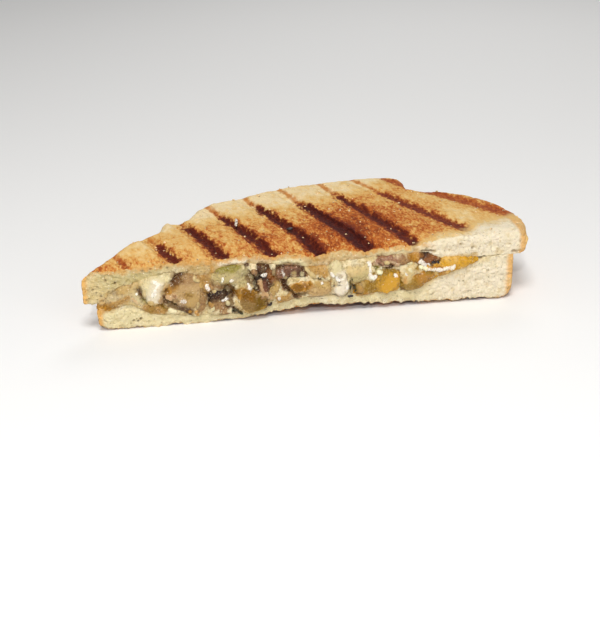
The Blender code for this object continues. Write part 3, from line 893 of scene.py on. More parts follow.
# %% Finish the bread
def bread_finish():
    material, start, shader = new_finish("grilled_bread")
    noise = bread_noise(start)
    _, _, broad, middle, fine = noise
    crust, edge = crust_colour(start, noise)
    crumb, pores = crumb_colour(start, noise)
    grilled = reading(start, "grilled")
    tearing = reading(start, "untoasted") + broad * 9.0 + middle * 5.0 + fine * 2.0
    crust = blend(crust, tone(220, 184, 120), smooth(tearing, -5.0, -1.0) * 0.8)
    crumb = blend(crumb, tone(216, 180, 112), smooth(tearing, 5.0, 1.0) * grilled * 0.55)
    raw = smooth(tearing, -1.6, 1.6) * grilled
    open_crumb = smooth(raw + reading(start, "cut") + reading(start, "inner"), 0.1, 0.9)
    height = middle * 0.5 + fine * 1.1 - smooth(pores, 0.64, 0.76) * open_crumb * 0.4
    set_shader(shader, {
        "Base Color": blend(crust, crumb, open_crumb),
        "Roughness": 0.70 + open_crumb * 0.2 - edge * 0.16,
        "Specular IOR Level": 0.08,
        "Subsurface Weight": 0.05,
        "Subsurface Radius": (1.0, 0.6, 0.3),
        "Subsurface Scale": 1.0 * MM,
        "Normal": relief(height, 0.60),
    })
    return material


bread = bread_finish()
for piece, node in ((upper, "bread_upper"), (lower, "bread_lower")):
    piece.data.materials.append(bread)
    dress(piece, "bread", node)
print("bread finish has", len(bread.node_tree.nodes), "nodes")

# %% [markdown]
# Melted cheese is smooth, wet and a little see-through, with soft lumps where it set over something, and
# cooked mushrooms are just as slippery. One recipe serves them all: a base tone, the painted spots, painted
# shade in the folds and painted light on their ridges, dark and pale mottling, painted glitter and painted
# highlights where the strokes put sparks, a varying gloss and a clear coat for the oil on the surface.

# %% Finish the filling
FOLD_RELIEF = 0.5


def melted_finish(name, pale, deep, rough, through, mottled):
    material, start, shader = new_finish(name)
    place = in_millimetres(start)
    broad, middle = speckle(place, 4.0), speckle(place, 1.4, 3.0, 0.6)
    grain = speckle(place, 0.7, 2.0, 0.6)
    wet, fold = reading(start, "wet"), reading(start, "fold")
    body = blend(pale, deep, smooth(broad * 0.5 + middle * 0.5, 0.40, 0.62))
    painted = reading(start, "paint", "Alpha") * (0.80 + middle * 0.4)
    colour = blend(body, reading(start, "paint", "Color"), smooth(painted, 0.05, 0.85))
    dry = 1.0 - wet
    mottle = middle * 0.5 + grain * 0.5
    # Painted shade in the hollows of the folds and painted light on their ridges
    colour = blend(colour, tone(78, 46, 18), smooth(fold, 0.05, -0.40) * dry * 0.60)
    colour = blend(colour, tone(244, 220, 160), smooth(fold, 0.10, 0.60) * dry * 0.30)
    colour = blend(colour, tone(88, 54, 22), smooth(mottle, 0.50, 0.68) * dry * mottled * 1.3)
    colour = blend(colour, tone(240, 214, 152), smooth(mottle, 0.48, 0.30) * dry * mottled * 0.6)
    # Painted glitter: small highlights strewn by noise
    painted_glitter = smooth(speckle(place, 0.8, 3.0, 0.7), 0.60, 0.70) * smooth(middle, 0.40, 0.58)
    colour = blend(colour, tone(250, 236, 204), painted_glitter * 0.75)
    # Painted highlights where the strokes noted a spark
    fleck = speckle(place, 0.45, 1.0) * 1.5 + 0.2
    painted_glint = smooth(reading(start, "spark") * fleck, 0.42, 0.95)
    colour = blend(colour, tone(252, 243, 228), painted_glint * 0.92)
    set_shader(shader, {
        "Base Color": colour,
        "Roughness": rough + (middle - 0.5) * 0.4 - wet * 0.12,
        "Specular IOR Level": 0.22,
        "Coat Weight": 0.04 + wet * 0.40,
        "Coat Roughness": 0.10,
        "Subsurface Weight": through,
        "Subsurface Radius": (1.0, 0.7, 0.4),
        "Subsurface Scale": 1.4 * MM,
        "Normal": relief(middle * 0.8 + grain * 0.4, FOLD_RELIEF),
    })
    return material


FINISHES = {
    "white": melted_finish("white_cheese", tone(228, 212, 172), tone(204, 180, 126), 0.24, 0.20, 0.34),
    "yellow": melted_finish("yellow_cheese", tone(208, 152, 46), tone(180, 122, 34), 0.20, 0.22, 0.34),
    "browned": melted_finish("browned_cheese", tone(206, 172, 112), tone(184, 136, 76), 0.60, 0.12, 0.35),
    "mushroom": melted_finish("cooked_mushroom", tone(178, 138, 92), tone(132, 94, 62), 0.22, 0.08, 0.50),
    "leek": melted_finish("soft_leek", tone(204, 192, 118), tone(168, 156, 72), 0.26, 0.24, 0.3),
    "onion": melted_finish("clear_onion", tone(226, 212, 184), tone(204, 184, 146), 0.20, 0.30, 0.2),
}
print("finishes:", ", ".join(FINISHES))

# %% [markdown]
# Cheese runs over whatever lies in it, so the colours on the cut don't stop where one piece meets the
# next. They are brushed on once for the whole filling, from left to right as a cook would see it, and
# every piece takes the part that falls on it. At the left end the crumb is soaked with fat, and pale cheese
# hangs beside a large cut mushroom with dark gills. A crease is painted dark as shade and lies deep, and a
# highlight is painted light and stands out.

# %% Brush the left of the filling
LEFT_STROKES = (
    # soaked crumb and browned cheese at the left end
    ((-70, 12, -58, 14.5), 3.6, 0, 1, "oat"), ((-64, 7.4, -57, 9), 1.8, 0, 1, "biscuit"),
    ((-72, 8, -65.5, 9), 1.6, 0, 1, "amber"), ((-65.5, 9.8, -60, 11.8), 1, 0, 0.9, "caramel"),
    ((-63, 14.4, -56.5, 15.8), 1.5, 0, 0.9, "toffee"), ((-58.4, 11.4, -56.8, 9.8), 0.4, 0.2, 0.9, "peach"),
    # white cheese with painted highlights, herbs beside it and oil under it
    ((-54, 12.5, -50, 17, -46.6, 17.4), 3.4, 0.3, 1, "cream"),
    ((-51.6, 11, -50.2, 15.6), 2.1, 0.2, 0.9, "milk"),
    ((-51.2, 17.4, -50, 16.2, -50.6, 14.8, -51.4, 13.2), 0.56, 0.4, 1, "gloss"),
    ((-51.2, 17.6, -50.5, 16.9), 0.27, 0.3, 1, "spark"), ((-50.4, 15.4, -51.2, 14), 0.28, 0.3, 1, "spark"),
    ((-56.4, 14.8, -55.6, 12.6, -54.9, 11), 0.94, -0.6, 1, "coffee"),
    ((-55, 11, -52.6, 8.4), 0.8, -0.3, 0.8, "leek green"),
    ((-54.6, 14.2, -54.4, 12.6), 0.3, 0.2, 0.8, "biscuit"), ((-57.1, 13.4), 0.31, 0.4, 1, "gloss"),
    ((-54, 7.8, -48.4, 6), 1.5, 0.1, 1, "caramel"), ((-52.4, 6.9), 1.2, 0.1, 0.8, "mustard"),
    ((-52.6, 9.8, -50.8, 8.8), 0.7, 0.2, 0.9, "honey"),
    ((-49.6, 9.4, -47.8, 7), 1.12, -0.4, 0.9, "mustard"), ((-50.6, 7.4), 0.45, 0.2, 0.9, "apricot"),
    ((-49.2, 10.6, -48.2, 11.4), 0.6, 0.3, 0.9, "peach"), ((-46.2, 5.9, -44.8, 5.2), 0.5, 0.2, 1, "butter"),
    ((-48.4, 12.8, -46.4, 16, -44.2, 18.6), 0.9, 0, 0.8, "oat"),
    # the large cut mushroom, with painted highlights on its skin and flesh
    ((-44, 12.6, -40, 16.6, -38, 10), 4, 0.2, 1, "wheat"),
    ((-40.6, 17.6, -37.4, 17.2), 1.7, 0, 0.9, "nut"), ((-46.4, 13.6, -44.4, 15.6), 1.3, 0, 0.9, "amber"),
    ((-44.8, 16.2, -42.6, 17.4), 1.38, -0.2, 1, "umber"),
    ((-45.4, 17.2, -43.2, 18.8, -41, 19.7, -38, 20), 0.94, -0.5, 1, "chestnut"),
    ((-47.6, 13.2, -46.6, 14.2), 0.62, -0.3, 1, "umber"), ((-39.8, 11.6), 1.3, -0.2, 0.9, "mustard"),
    ((-40, 8, -37.6, 9.8), 1.5, 0.1, 0.9, "toffee"), ((-36, 7, -34.6, 12.4), 1.7, -0.4, 1, "nut"),
    ((-47.8, 10.9, -45.4, 9.4, -43.4, 7.8, -41.4, 6.2, -39.6, 5.2), 1.38, -0.3, 1, "coffee"),
    ((-46.4, 10.2, -44.2, 8.4), 0.88, -0.5, 1, "cocoa"), ((-46.4, 8.4, -44.6, 7), 0.8, 0, 0.8, "bark"),
    ((-46.8, 11.5, -46, 11.2), 0.55, 0.4, 1, "peach"), ((-45.2, 12, -44.4, 11.6), 0.5, 0.4, 1, "peach"),
    ((-43.9, 10.4), 0.6, 0.3, 0.9, "wheat"), ((-42.4, 9.3), 1.4, 0.2, 0.8, "rose"),
    ((-42.1, 9.7, -41.2, 9.5), 0.4, 0.5, 1, "spark"), ((-37.9, 17, -36.6, 16.5), 0.45, 0.4, 1, "biscuit"),
    ((-37.8, 18.4), 0.5, 0.3, 0.9, "oat"), ((-35.7, 14.8, -35.6, 14.2), 0.45, 0.3, 0.9, "honey"),
    ((-37, 8.6, -37.2, 6.6), 0.29, 0.3, 0.9, "biscuit"), ((-39.3, 5.3), 0.5, 0.2, 0.9, "amber"),
    ((-38, 3.4), 0.62, -0.3, 1, "coffee"), ((-39.2, 3.4), 0.4, 0.2, 0.9, "honey"),
    ((-36, 5.6, -36.8, 4.4), 0.35, -0.3, 1, "umber"), ((-37.4, 5.2, -36.7, 3.8), 0.3, 0.2, 0.9, "apricot"),
)
print("strokes at the left:", len(LEFT_STROKES))

# %% [markdown]
# Left of the middle the food is darkest. Black and brown mushrooms, a piece of leek and an amber drop of
# cheese lie close together, so short strokes do most of the work, with deep creases painted dark as shade
# between the pieces and small painted highlights on them.

# %% Brush the dark pieces
DARK_STROKES = (
    # soaked cheese between the mushrooms, with painted shade in the crease and a painted highlight
    ((-34.2, 17.6, -33, 12.6), 1.9, -0.2, 1, "caramel"), ((-31.4, 14.4, -26.4, 13.2), 1.3, -0.3, 1, "nut"),
    ((-26.6, 12.8, -24.6, 10.6), 2, -0.9, 1, "umber"), ((-33.4, 14.2, -32.9, 13), 0.37, 0.5, 1, "gloss"),
    # the leek and the cheese on it, with painted highlights
    ((-29.4, 17.4, -23.6, 17), 2.2, 0.1, 1, "straw"), ((-24, 16.4, -22, 15.6), 1.2, 0.1, 0.9, "oat"),
    ((-30, 19.2, -27.4, 19.6, -25, 19.2, -22.6, 19.9), 0.85, -0.1, 1, "leek green"),
    ((-26.6, 20.4, -22, 20.4, -20.6, 20.8), 0.3, -0.3, 1, "umber"),
    ((-28.3, 16.9, -28.2, 15.8), 0.31, 0.4, 1, "spark"), ((-28.2, 15.1), 0.4, 0.2, 0.9, "oat"),
    ((-25.4, 15.6, -24.6, 16.1), 0.28, 0.4, 1, "gloss"),
    # the dark mushroom at the left and the herbs under it, with painted highlights
    ((-31, 6.8, -27.4, 6.4), 1.9, -0.1, 1, "nut"), ((-32.6, 8, -32.6, 10.4), 0.94, -0.5, 1, "char"),
    ((-31.4, 10.6, -28.4, 10.9, -26.8, 10.5), 2.1, -0.4, 1, "char"),
    ((-29.8, 9.2, -28.2, 9.4), 0.75, 0.2, 0.6, "chestnut"), ((-26.2, 8.8, -25.2, 7.4), 0.9, 0.1, 1, "bark"),
    ((-28.3, 8.4, -26.7, 8.8), 0.27, 0.5, 1, "gloss"), ((-26.9, 7.8, -26.6, 7.5), 0.32, 0.4, 1, "cream"),
    ((-27.2, 6.4, -25.2, 5.8, -24, 4.8), 1, -0.5, 1, "chestnut"),
    ((-32.6, 7.4, -32.2, 6.8), 0.5, 0.3, 0.9, "caramel"),
    ((-33.2, 5.2, -32.4, 4.8, -31.4, 5.4), 0.29, 0.4, 1, "cream"),
    ((-31.6, 11.8, -30.9, 12.2), 0.35, 0.3, 1, "biscuit"),
    ((-24.8, 4.4, -22.8, 4.2, -21.7, 2.8), 0.56, -0.1, 1, "soot"), ((-23.4, 3.1), 0.75, 0, 0.8, "coffee"),
    # clear grey cheese with a crease and a hole painted dark as shade, and a painted highlight
    ((-22.2, 17.4, -20.4, 18), 1.5, 0, 1, "sage"), ((-21, 15, -21.4, 13.4), 1.4, 0.1, 1, "straw"),
    ((-19.6, 16.6, -18.8, 14.6), 1, -0.3, 1, "bark"),
    ((-18.8, 18.9, -18.4, 17.6, -17.2, 16.6), 0.56, -0.5, 1, "cocoa"),
    ((-17.4, 17.2, -16.9, 15.2), 0.56, -0.5, 0.9, "chestnut"),
    ((-19.9, 20.1, -19, 20.5), 0.62, -0.3, 1, "chestnut"),
    ((-18, 16.9, -17.8, 16.2), 0.35, 0.2, 0.8, "sage"),
    ((-17.3, 14.2, -16.9, 13.2), 0.5, 0.1, 0.8, "pewter"), ((-19.5, 14, -19, 12), 0.37, 0.6, 1, "spark"),
    ((-20.1, 13), 0.4, 0.2, 0.9, "rose"), ((-17.9, 11.8, -17.3, 11.6), 0.94, -0.9, 1, "soot"),
    ((-16.2, 13.6, -15.7, 12, -16, 10.4), 0.62, -0.5, 1, "coffee"),
    # the amber drip
    ((-21.4, 11, -18.8, 9.8), 1.9, 0.1, 1, "amber"), ((-22, 11.3), 0.7, 0.2, 0.8, "caramel"),
    ((-22, 8.6, -18.2, 7.8), 0.8, 0, 0.8, "amber"), ((-21, 6.4, -18.8, 4.8), 1.9, 0.1, 1, "toffee"),
    ((-15.4, 7.4, -15, 4.6), 1.9, 0, 1, "mustard"), ((-23.5, 7.8, -22.4, 5.4), 0.4, 0.2, 0.9, "biscuit"),
    ((-12.9, 8.2, -13.2, 6), 0.5, -0.5, 1, "coffee"),
    # the black mushroom, with painted highlights
    ((-15.2, 19.4, -13.4, 19.2), 1.38, 0, 1, "chestnut"),
    ((-15.5, 20.6, -15.2, 20), 0.56, 0.1, 1, "coffee"), ((-15.2, 15.2, -12.8, 15.4), 2.6, -0.4, 1, "char"),
    ((-14.1, 13.2, -13.6, 11.8), 1.38, 0, 1, "plum"),
    ((-16.6, 16.4, -15, 15.8, -13.4, 16.2, -12, 17), 0.69, -0.5, 1, "char"),
    ((-16, 18.2, -15.5, 17), 0.5, -0.4, 1, "char"), ((-12.4, 14, -11.8, 12.8), 1.25, -0.2, 1, "chestnut"),
    ((-11.9, 11.5, -10.2, 12.9), 0.5, -0.5, 1, "char"), ((-14.8, 17.2, -13.1, 17.5), 0.28, 0.6, 1, "gloss"),
    ((-15.6, 14.6, -15, 12.4, -14.5, 10.4), 0.35, 0.3, 0.9, "peach"),
    ((-14.4, 9.6, -13.4, 9.4), 0.85, 0.1, 1, "peach"), ((-14.6, 8.6), 0.4, 0.4, 0.9, "peach"),
    ((-12.8, 11, -12.2, 9), 0.35, -0.4, 1, "chestnut"), ((-13.2, 5), 0.62, 0, 0.8, "coffee"),
)
print("strokes on the dark pieces:", len(DARK_STROKES))

# %% [markdown]
# In the middle a mushroom slice shows its stem, its gills and a cap with painted highlights. Right of it
# white cheese drips down over soaked crumb. Pale strokes that stand out make the drip, and a few grey ones
# press in its hollows and paint the shade in them.

# %% Brush the mushroom slice and the drip
MIDDLE_STROKES = (
    # the mushroom slice: stem, cap with painted highlights, the gills between them, and painted shade under
    # the cap and in the crease beside the stem
    ((-11.4, 8.4, -10.9, 10.6, -9.4, 12.8), 1.15, 0.2, 1, "toffee"),
    ((-11.7, 8, -11.6, 10), 0.3, 0.2, 0.8, "peach"), ((-12.2, 17.4, -10.6, 14.8), 1.12, -0.3, 1, "rust"),
    ((-9.4, 17.2, -8.6, 16), 1.5, 0.1, 1, "umber"), ((-8, 17.4, -2.6, 17.6), 1.5, 0.4, 1, "cap"),
    ((-1.6, 17.2, 0, 16.6), 1.12, 0.2, 1, "coffee"),
    ((-10.4, 17.8, -8.2, 19, -5.5, 19.5, -3.2, 19.2, -1, 18, 0.4, 17), 0.62, -0.4, 1, "chestnut"),
    ((-6.4, 14.8, -5.2, 15.8, -4.4, 15.2), 0.75, -0.5, 1, "chestnut"),
    ((-3, 15.6, -0.8, 15.6), 0.75, -0.6, 1, "char"), ((-7.7, 17.8, -7.5, 16.4), 0.37, 0.5, 1, "spark"),
    ((-7, 15.7, -6.6, 15.1), 0.32, 0.4, 1, "biscuit"), ((-3.7, 17), 0.55, 0.4, 1, "biscuit"),
    ((-1.5, 16.9, -0.7, 16.5), 0.36, 0.4, 1, "cream"), ((-3.2, 11.6, 1.6, 11.5), 1.4, 0.3, 1, "amber"),
    ((-3.8, 14.4, -2.4, 14.2), 0.6, 0.2, 1, "biscuit"),
    ((-7.4, 14.4, -6.8, 12, -5.2, 10.2, -2.6, 8.4), 1.06, -0.8, 1, "chestnut"),
    ((-1.1, 13.2, 0.4, 12.8), 0.6, 0.2, 0.9, "apricot"), ((-2.6, 9.2, 2, 9), 0.7, -0.2, 0.9, "bark"),
    ((3, 9.4, 8, 9.6), 1.5, 0.1, 1, "wheat"), ((4.4, 11.8, 8, 11.4), 1, 0.1, 1, "toffee"),
    ((-8.4, 7.2, -5.4, 7.8), 1.3, 0.1, 1, "caramel"), ((-8.8, 8, -8.7, 7.4), 0.31, 0.4, 1, "spark"),
    ((-3.4, 7.8, -2.2, 7.9), 0.35, -0.4, 1, "coffee"), ((2.8, 7.5, 6.6, 7.8), 0.3, -0.3, 1, "rust"),
    ((-9.8, 20, -6, 20.4, -2, 19.9, 0.8, 18, 2, 16.4), 0.36, 0.4, 1, "cream"),
    # soaked crumb above it, the herb line and small painted highlights
    ((2.8, 17.2, 7.4, 15.8), 1.7, 0, 1, "caramel"), ((1.2, 17, 3.6, 14.6), 0.55, 0.3, 1, "biscuit"),
    ((3.4, 14, 5.6, 13.6), 0.56, -0.5, 1, "umber"), ((5.6, 13.9, 8, 13, 9.5, 12), 0.35, -0.4, 1, "rust"),
    ((6.7, 13.3), 0.32, 0.4, 1, "cream"), ((5.9, 11.9), 0.27, 0.4, 1, "gloss"),
    ((9.4, 11.8, 9, 9.9, 10.4, 10.2), 0.35, -0.3, 0.9, "nut"),
    # the white drip and the pale cheese beside it, with painted highlights and painted shade in its hollows
    ((11, 17.6, 11.8, 15.4), 1.9, 0.5, 1, "cream"), ((13, 14, 13.6, 10, 12.6, 8.6), 1.9, 0.4, 1, "milk"),
    ((9.3, 15.7, 10.4, 14.4, 12, 13.4), 0.31, 0.4, 1, "gloss"), ((13, 13.4), 0.46, 0.3, 1, "gloss"),
    ((14.8, 11.6, 14.8, 8.4), 0.37, 0.3, 0.9, "gloss"), ((12.3, 12.5), 0.55, -0.5, 1, "pewter"),
    ((10.4, 10.8, 12.2, 11), 0.35, -0.4, 1, "pewter"), ((9.6, 13.4, 9.4, 12.4), 0.5, -0.3, 0.9, "caramel"),
    ((16.6, 15.6, 20.6, 15.4), 1.9, 0.2, 1, "biscuit"), ((18.4, 12.8, 21, 13.2), 1.4, 0.1, 1, "straw"),
    ((14, 15.2, 15.1, 13.4, 15.7, 11.4), 0.35, -0.5, 0.9, "pewter"),
    ((17, 13.6, 16.9, 12.6), 0.3, -0.3, 1, "bark"), ((16.8, 12, 16.2, 10, 16.4, 8), 0.62, -0.4, 1, "olive"),
    ((16.9, 9.2, 16.8, 7.4), 0.3, 0.3, 0.9, "oat"),
)
print("strokes in the middle:", len(MIDDLE_STROKES))

# %% [markdown]
# The right is yellow with melted cheese and oil, and runs out between the slices to a thin bright end. The
# wettest spots are here, so this is where most of the painted highlights lie.

# %% Brush the yellow end
RIGHT_STROKES = (
    # herbs in the yellow cheese
    ((19.4, 9.2, 22.6, 9.4), 2, 0, 1, "mustard"), ((19.8, 8.9, 20.4, 8.3), 0.7, 0.3, 0.9, "caramel"),
    ((19.2, 10.9, 20.2, 10.6), 0.5, -0.3, 1, "umber"), ((19.4, 7.2, 20.2, 7), 0.62, -0.3, 1, "umber"),
    ((17.6, 10, 18, 9), 0.81, -0.5, 1, "cocoa"), ((23.2, 10.4), 0.35, -0.3, 0.9, "umber"),
    ((18.6, 6.2, 24.6, 6.2), 0.7, 0, 1, "amber"),
    # yellow cheese, with a painted highlight
    ((24.6, 8.2, 26.4, 11.4), 1.9, 0, 1, "mustard"), ((29, 8.6, 32, 11.4), 2.7, 0.5, 1, "yolk"),
    ((28.6, 14, 31.6, 13.8), 1.2, 0, 1, "mustard"), ((36.2, 9, 40, 9.4), 2.2, 0.1, 1, "mustard"),
    ((41.6, 11.2, 44, 11.6), 2, 0.3, 1, "amber"),
    ((33.4, 14.4, 34.4, 11.6, 34.5, 8), 0.5, -0.6, 1, "mustard"),
    ((32, 12.8, 32.7, 12.4), 0.37, 0.5, 1, "gloss"), ((30.3, 12.7), 0.5, 0.2, 0.8, "yolk"),
    ((35.2, 7.3, 37.2, 7.1), 0.5, -0.3, 1, "umber"), ((26.2, 11.8, 26.4, 10.8), 0.5, 0.2, 0.9, "yolk"),
    ((44.8, 10.6, 45.6, 11.6), 0.8, 0.1, 0.9, "amber"),
    # the white wedge in it, with painted highlights
    ((38.2, 15.4, 36.6, 12), 1.4, 0.3, 1, "biscuit"), ((36.4, 13.4, 36.6, 12.8), 0.31, 0.4, 1, "gloss"),
    ((37.5, 14.8, 37.8, 14), 0.32, 0.3, 1, "butter"), ((36.2, 11.6, 36.2, 10.2), 0.5, 0.1, 0.9, "apricot"),
    # the pieces under the upper slice at the right, with small painted highlights
    ((27, 18.6, 34, 18.4), 1.9, 0, 1, "cap"), ((34.6, 18.6, 37.4, 18.6), 1.6, 0.1, 1, "nut"),
    ((25.2, 16.8, 25.8, 15.6), 0.8, -0.4, 1, "leek green"),
    ((26.2, 18.2, 27.6, 16.4), 0.56, -0.4, 1, "cocoa"),
    ((26.6, 19.6, 28.2, 18.4), 0.3, -0.3, 0.9, "coffee"),
    ((28.4, 17.6, 30.4, 17.7, 31.8, 16.4), 0.5, -0.4, 1, "cocoa"),
    ((28.2, 16, 30.4, 16.2), 0.81, -0.7, 1, "char"), ((28.6, 18.4, 29.6, 18.2), 0.5, 0.4, 1, "biscuit"),
    ((30.8, 18.6, 32, 18.2), 0.4, 0.3, 0.9, "rose"), ((32.6, 17.2, 33.4, 16.8), 0.6, 0.3, 0.9, "rose"),
    ((34.3, 16.8, 35, 16.4), 0.56, -0.4, 1, "coffee"), ((36.8, 16.9, 37.6, 16.7), 0.32, 0.4, 1, "cream"),
    ((38.4, 19.4, 39.8, 18.6), 1.4, 0, 1, "amber"), ((39.8, 17.2, 40.4, 16.6), 0.62, -0.4, 1, "chestnut"),
    ((43.4, 18.2, 46, 18.2), 2.12, 0.2, 1, "rust"),
    ((42.2, 20.6, 43.4, 19.5, 46.2, 19.7), 0.88, -0.4, 1, "cocoa"),
    ((41.6, 18.4, 42.2, 18.3), 0.5, -0.3, 1, "cocoa"), ((40, 14.4, 40.8, 15.6), 0.7, -0.2, 0.9, "mustard"),
    ((45.4, 16, 45, 15.4), 0.62, -0.3, 1, "coffee"), ((46, 16.6, 46.4, 16), 0.62, -0.5, 1, "char"),
    ((47.4, 16.4, 48.2, 16.1), 0.62, -0.4, 1, "cocoa"),
    # painted highlights on the wet cheese, the white streak at the right painted as a highlight, and the
    # yellow end of the filling
    ((22.8, 18.4, 22.9, 17.6), 0.46, 0.5, 1, "spark"), ((23.1, 16.8, 23.4, 15), 0.27, 0.4, 1, "gloss"),
    ((24.7, 14), 0.75, -0.3, 1, "mustard"),
    ((23.2, 14, 23.5, 13, 24.6, 12.7, 25.4, 13.2), 0.31, 0.5, 1, "gloss"),
    ((26.8, 15.9), 0.29, 0.4, 1, "butter"), ((26.6, 14.2, 27.4, 14), 0.32, 0.5, 1, "butter"),
    ((41.3, 17.5, 42.4, 16.8), 0.46, 0.5, 1, "gloss"), ((42.6, 16.2, 43.2, 15.2), 0.52, 0.5, 1, "spark"),
    ((44.2, 15.8, 44.6, 15.2), 0.31, 0.4, 1, "gloss"), ((41.4, 15, 43.6, 14.2), 0.29, 0.4, 1, "butter"),
    ((43.8, 13.2, 45.6, 12.9), 0.6, 0, 1, "mustard"), ((48.6, 12, 49.8, 12.4), 0.8, 0, 0.9, "amber"),
    ((50, 15.6, 58, 16), 1.3, 0.1, 1, "yolk"), ((52, 14, 58, 15.2), 1.1, 0.1, 1, "yolk"),
    ((58, 16, 66, 16.8), 0.9, 0, 0.9, "yolk"),
    ((44.4, 14.2, 46.6, 13.9, 48.6, 13.8, 50.4, 14.1, 53.2, 14.7), 0.31, 0.5, 1, "spark"),
    ((48.2, 13.7, 49.4, 13.8), 0.37, 0.3, 1, "spark"), ((47.2, 12.8, 46.8, 12.2), 0.4, 0.2, 0.9, "honey"),
)
FILLING_STROKES = LEFT_STROKES + DARK_STROKES + MIDDLE_STROKES + RIGHT_STROKES
FILLING_WARP = 0.35
print("strokes on the filling:", len(FILLING_STROKES))

# %% [markdown]
# Melted food has soft lumps with sharp folds between them. Two sizes of noise give the lumps, and noise with
# its sign taken away gives the folds, because it has a crease wherever it passes 0. Lumps that are fused
# into a solid's skin stand for what the cheese set over.

# %% Melt a solid's skin
LAP = 0.45
MELT_SMOOTHING = 3


def ruffle(piece, swell, height, seed):
    """Swells a skin, most towards the bread, and gives it the soft lumps and sharp folds of melted food."""
    points, normals = points_of(piece)
    swell = swell + LAP * np.abs(normals[:, 2]) ** 2
    wave = unevenness(points, 3.4, seed) + 0.6 * unevenness(points, 1.6, seed + 1)
    folds = 1 - 2 * np.abs(unevenness(points, 2.2, seed + 2)) + 0.3 * unevenness(points, 0.8, seed + 3)
    height = height * (wave + 0.5 * folds)
    # The fold height is noted for the finish, which paints shade in its hollows and light on its ridges
    note(piece, "fold", height)
    move_points(piece, crush(points + normals * (swell + height)[:, None]))


def melt(name, node, voxel, swell, height, lumps, seed):
    """A solid's fine skin with lumps fused in, swollen by some millimetres and uneven by some more."""
    bm = solid_copy(node)
    for lump in lumps:
        add_lump(bm, *lump)
    piece = reskin(name, bm, voxel, MELT_SMOOTHING)
    add_fine_strip(piece)
    brush(piece, FILLING_STROKES, FILLING_WARP)
    ruffle(piece, swell, height, seed)
    return piece


print("a skin swells by up to", LAP, "mm more where it faces the bread")

# %% [markdown]
# The layers of cheese keep the form of their solids. They swell most, so that they cling to the bread and
# the mushrooms without a gap. The browned one is soaked into the crumb, so its front is pressed back flush
# with the cut.

# %% Model the layers of cheese
CHEESE_VOXEL = 0.50
CHEESE_SWELL = 0.40
FLUSH = 0.5
LAYERS = {
    "white_cheese_layer": ("cheese_white", "white", "white_cheese", 0.34, (
        (-51.5, -0.2, 15.4, 4.6, 1.3, 2.6, 40), (-50.5, -0.1, 11.2, 2.0, 1.2, 3.6, 10),
        (11.4, -0.4, 16.6, 2.4, 1.2, 2.8, 0), (12.8, -0.3, 12.2, 2.5, 1.0, 4.0, -14),
        (13.2, -0.3, 8.8, 3.3, 0.9, 2.8, 0), (18.6, -0.2, 14.6, 3.4, 1.2, 2.4, 0),
        (4.8, -0.2, 9.6, 4.6, 1.1, 1.7, -6), (-29.8, -0.2, 14.0, 2.2, 1.3, 1.4, -30))),
    "yellow_cheese_layer": ("cheese_yellow", "yellow", "yellow_cheese", 0.34, (
        (29.0, -0.3, 10.6, 5.0, 1.5, 3.6, -10), (40.0, -0.3, 10.6, 5.0, 1.4, 3.0, 20),
        (21.6, -0.2, 9.2, 2.6, 1.1, 2.6, 0), (50.0, -0.1, 14.4, 4.0, 1.2, 1.3, 8),
        (58.0, 0.1, 15.6, 5.0, 0.9, 0.8, 7))),
    "browned_cheese_layer": ("cheese_browned", "browned", "browned_cheese", 0.24, (
        (-67.6, 1.0, 9.0, 3.0, 1.4, 1.7, 12), (-63.0, 0.9, 11.2, 3.5, 1.3, 2.2, 20))),
}


def press_flush(piece):
    """Presses the front of a piece back to the cut, with the small unevenness of soaked crumb."""
    points, _ = points_of(piece)
    rough = 0.35 * unevenness(points, 1.3, 71) + 0.25 * unevenness(points, 0.6, 72)
    pressed = FLUSH + 0.15 * (points[:, 1] - FLUSH) + rough
    points[:, 1] = np.where(points[:, 1] < FLUSH, pressed, points[:, 1])
    move_points(piece, points)


for order, (name, (node, finish, slot, height, lumps)) in enumerate(LAYERS.items()):
    piece = melt(name, node, CHEESE_VOXEL, CHEESE_SWELL, height, lumps, 20 + 10 * order)
    if finish == "browned":
        press_flush(piece)
    piece.data.materials.append(FINISHES[finish])
    dress(piece, slot, node)

# %% [markdown]
# Each mushroom, the leek, the onion and the drip keep their solid's form too, with lumps of their own for
# a cap's edge, a stem or a fold. They swell less than the cheese, so that the cheese laps over them.

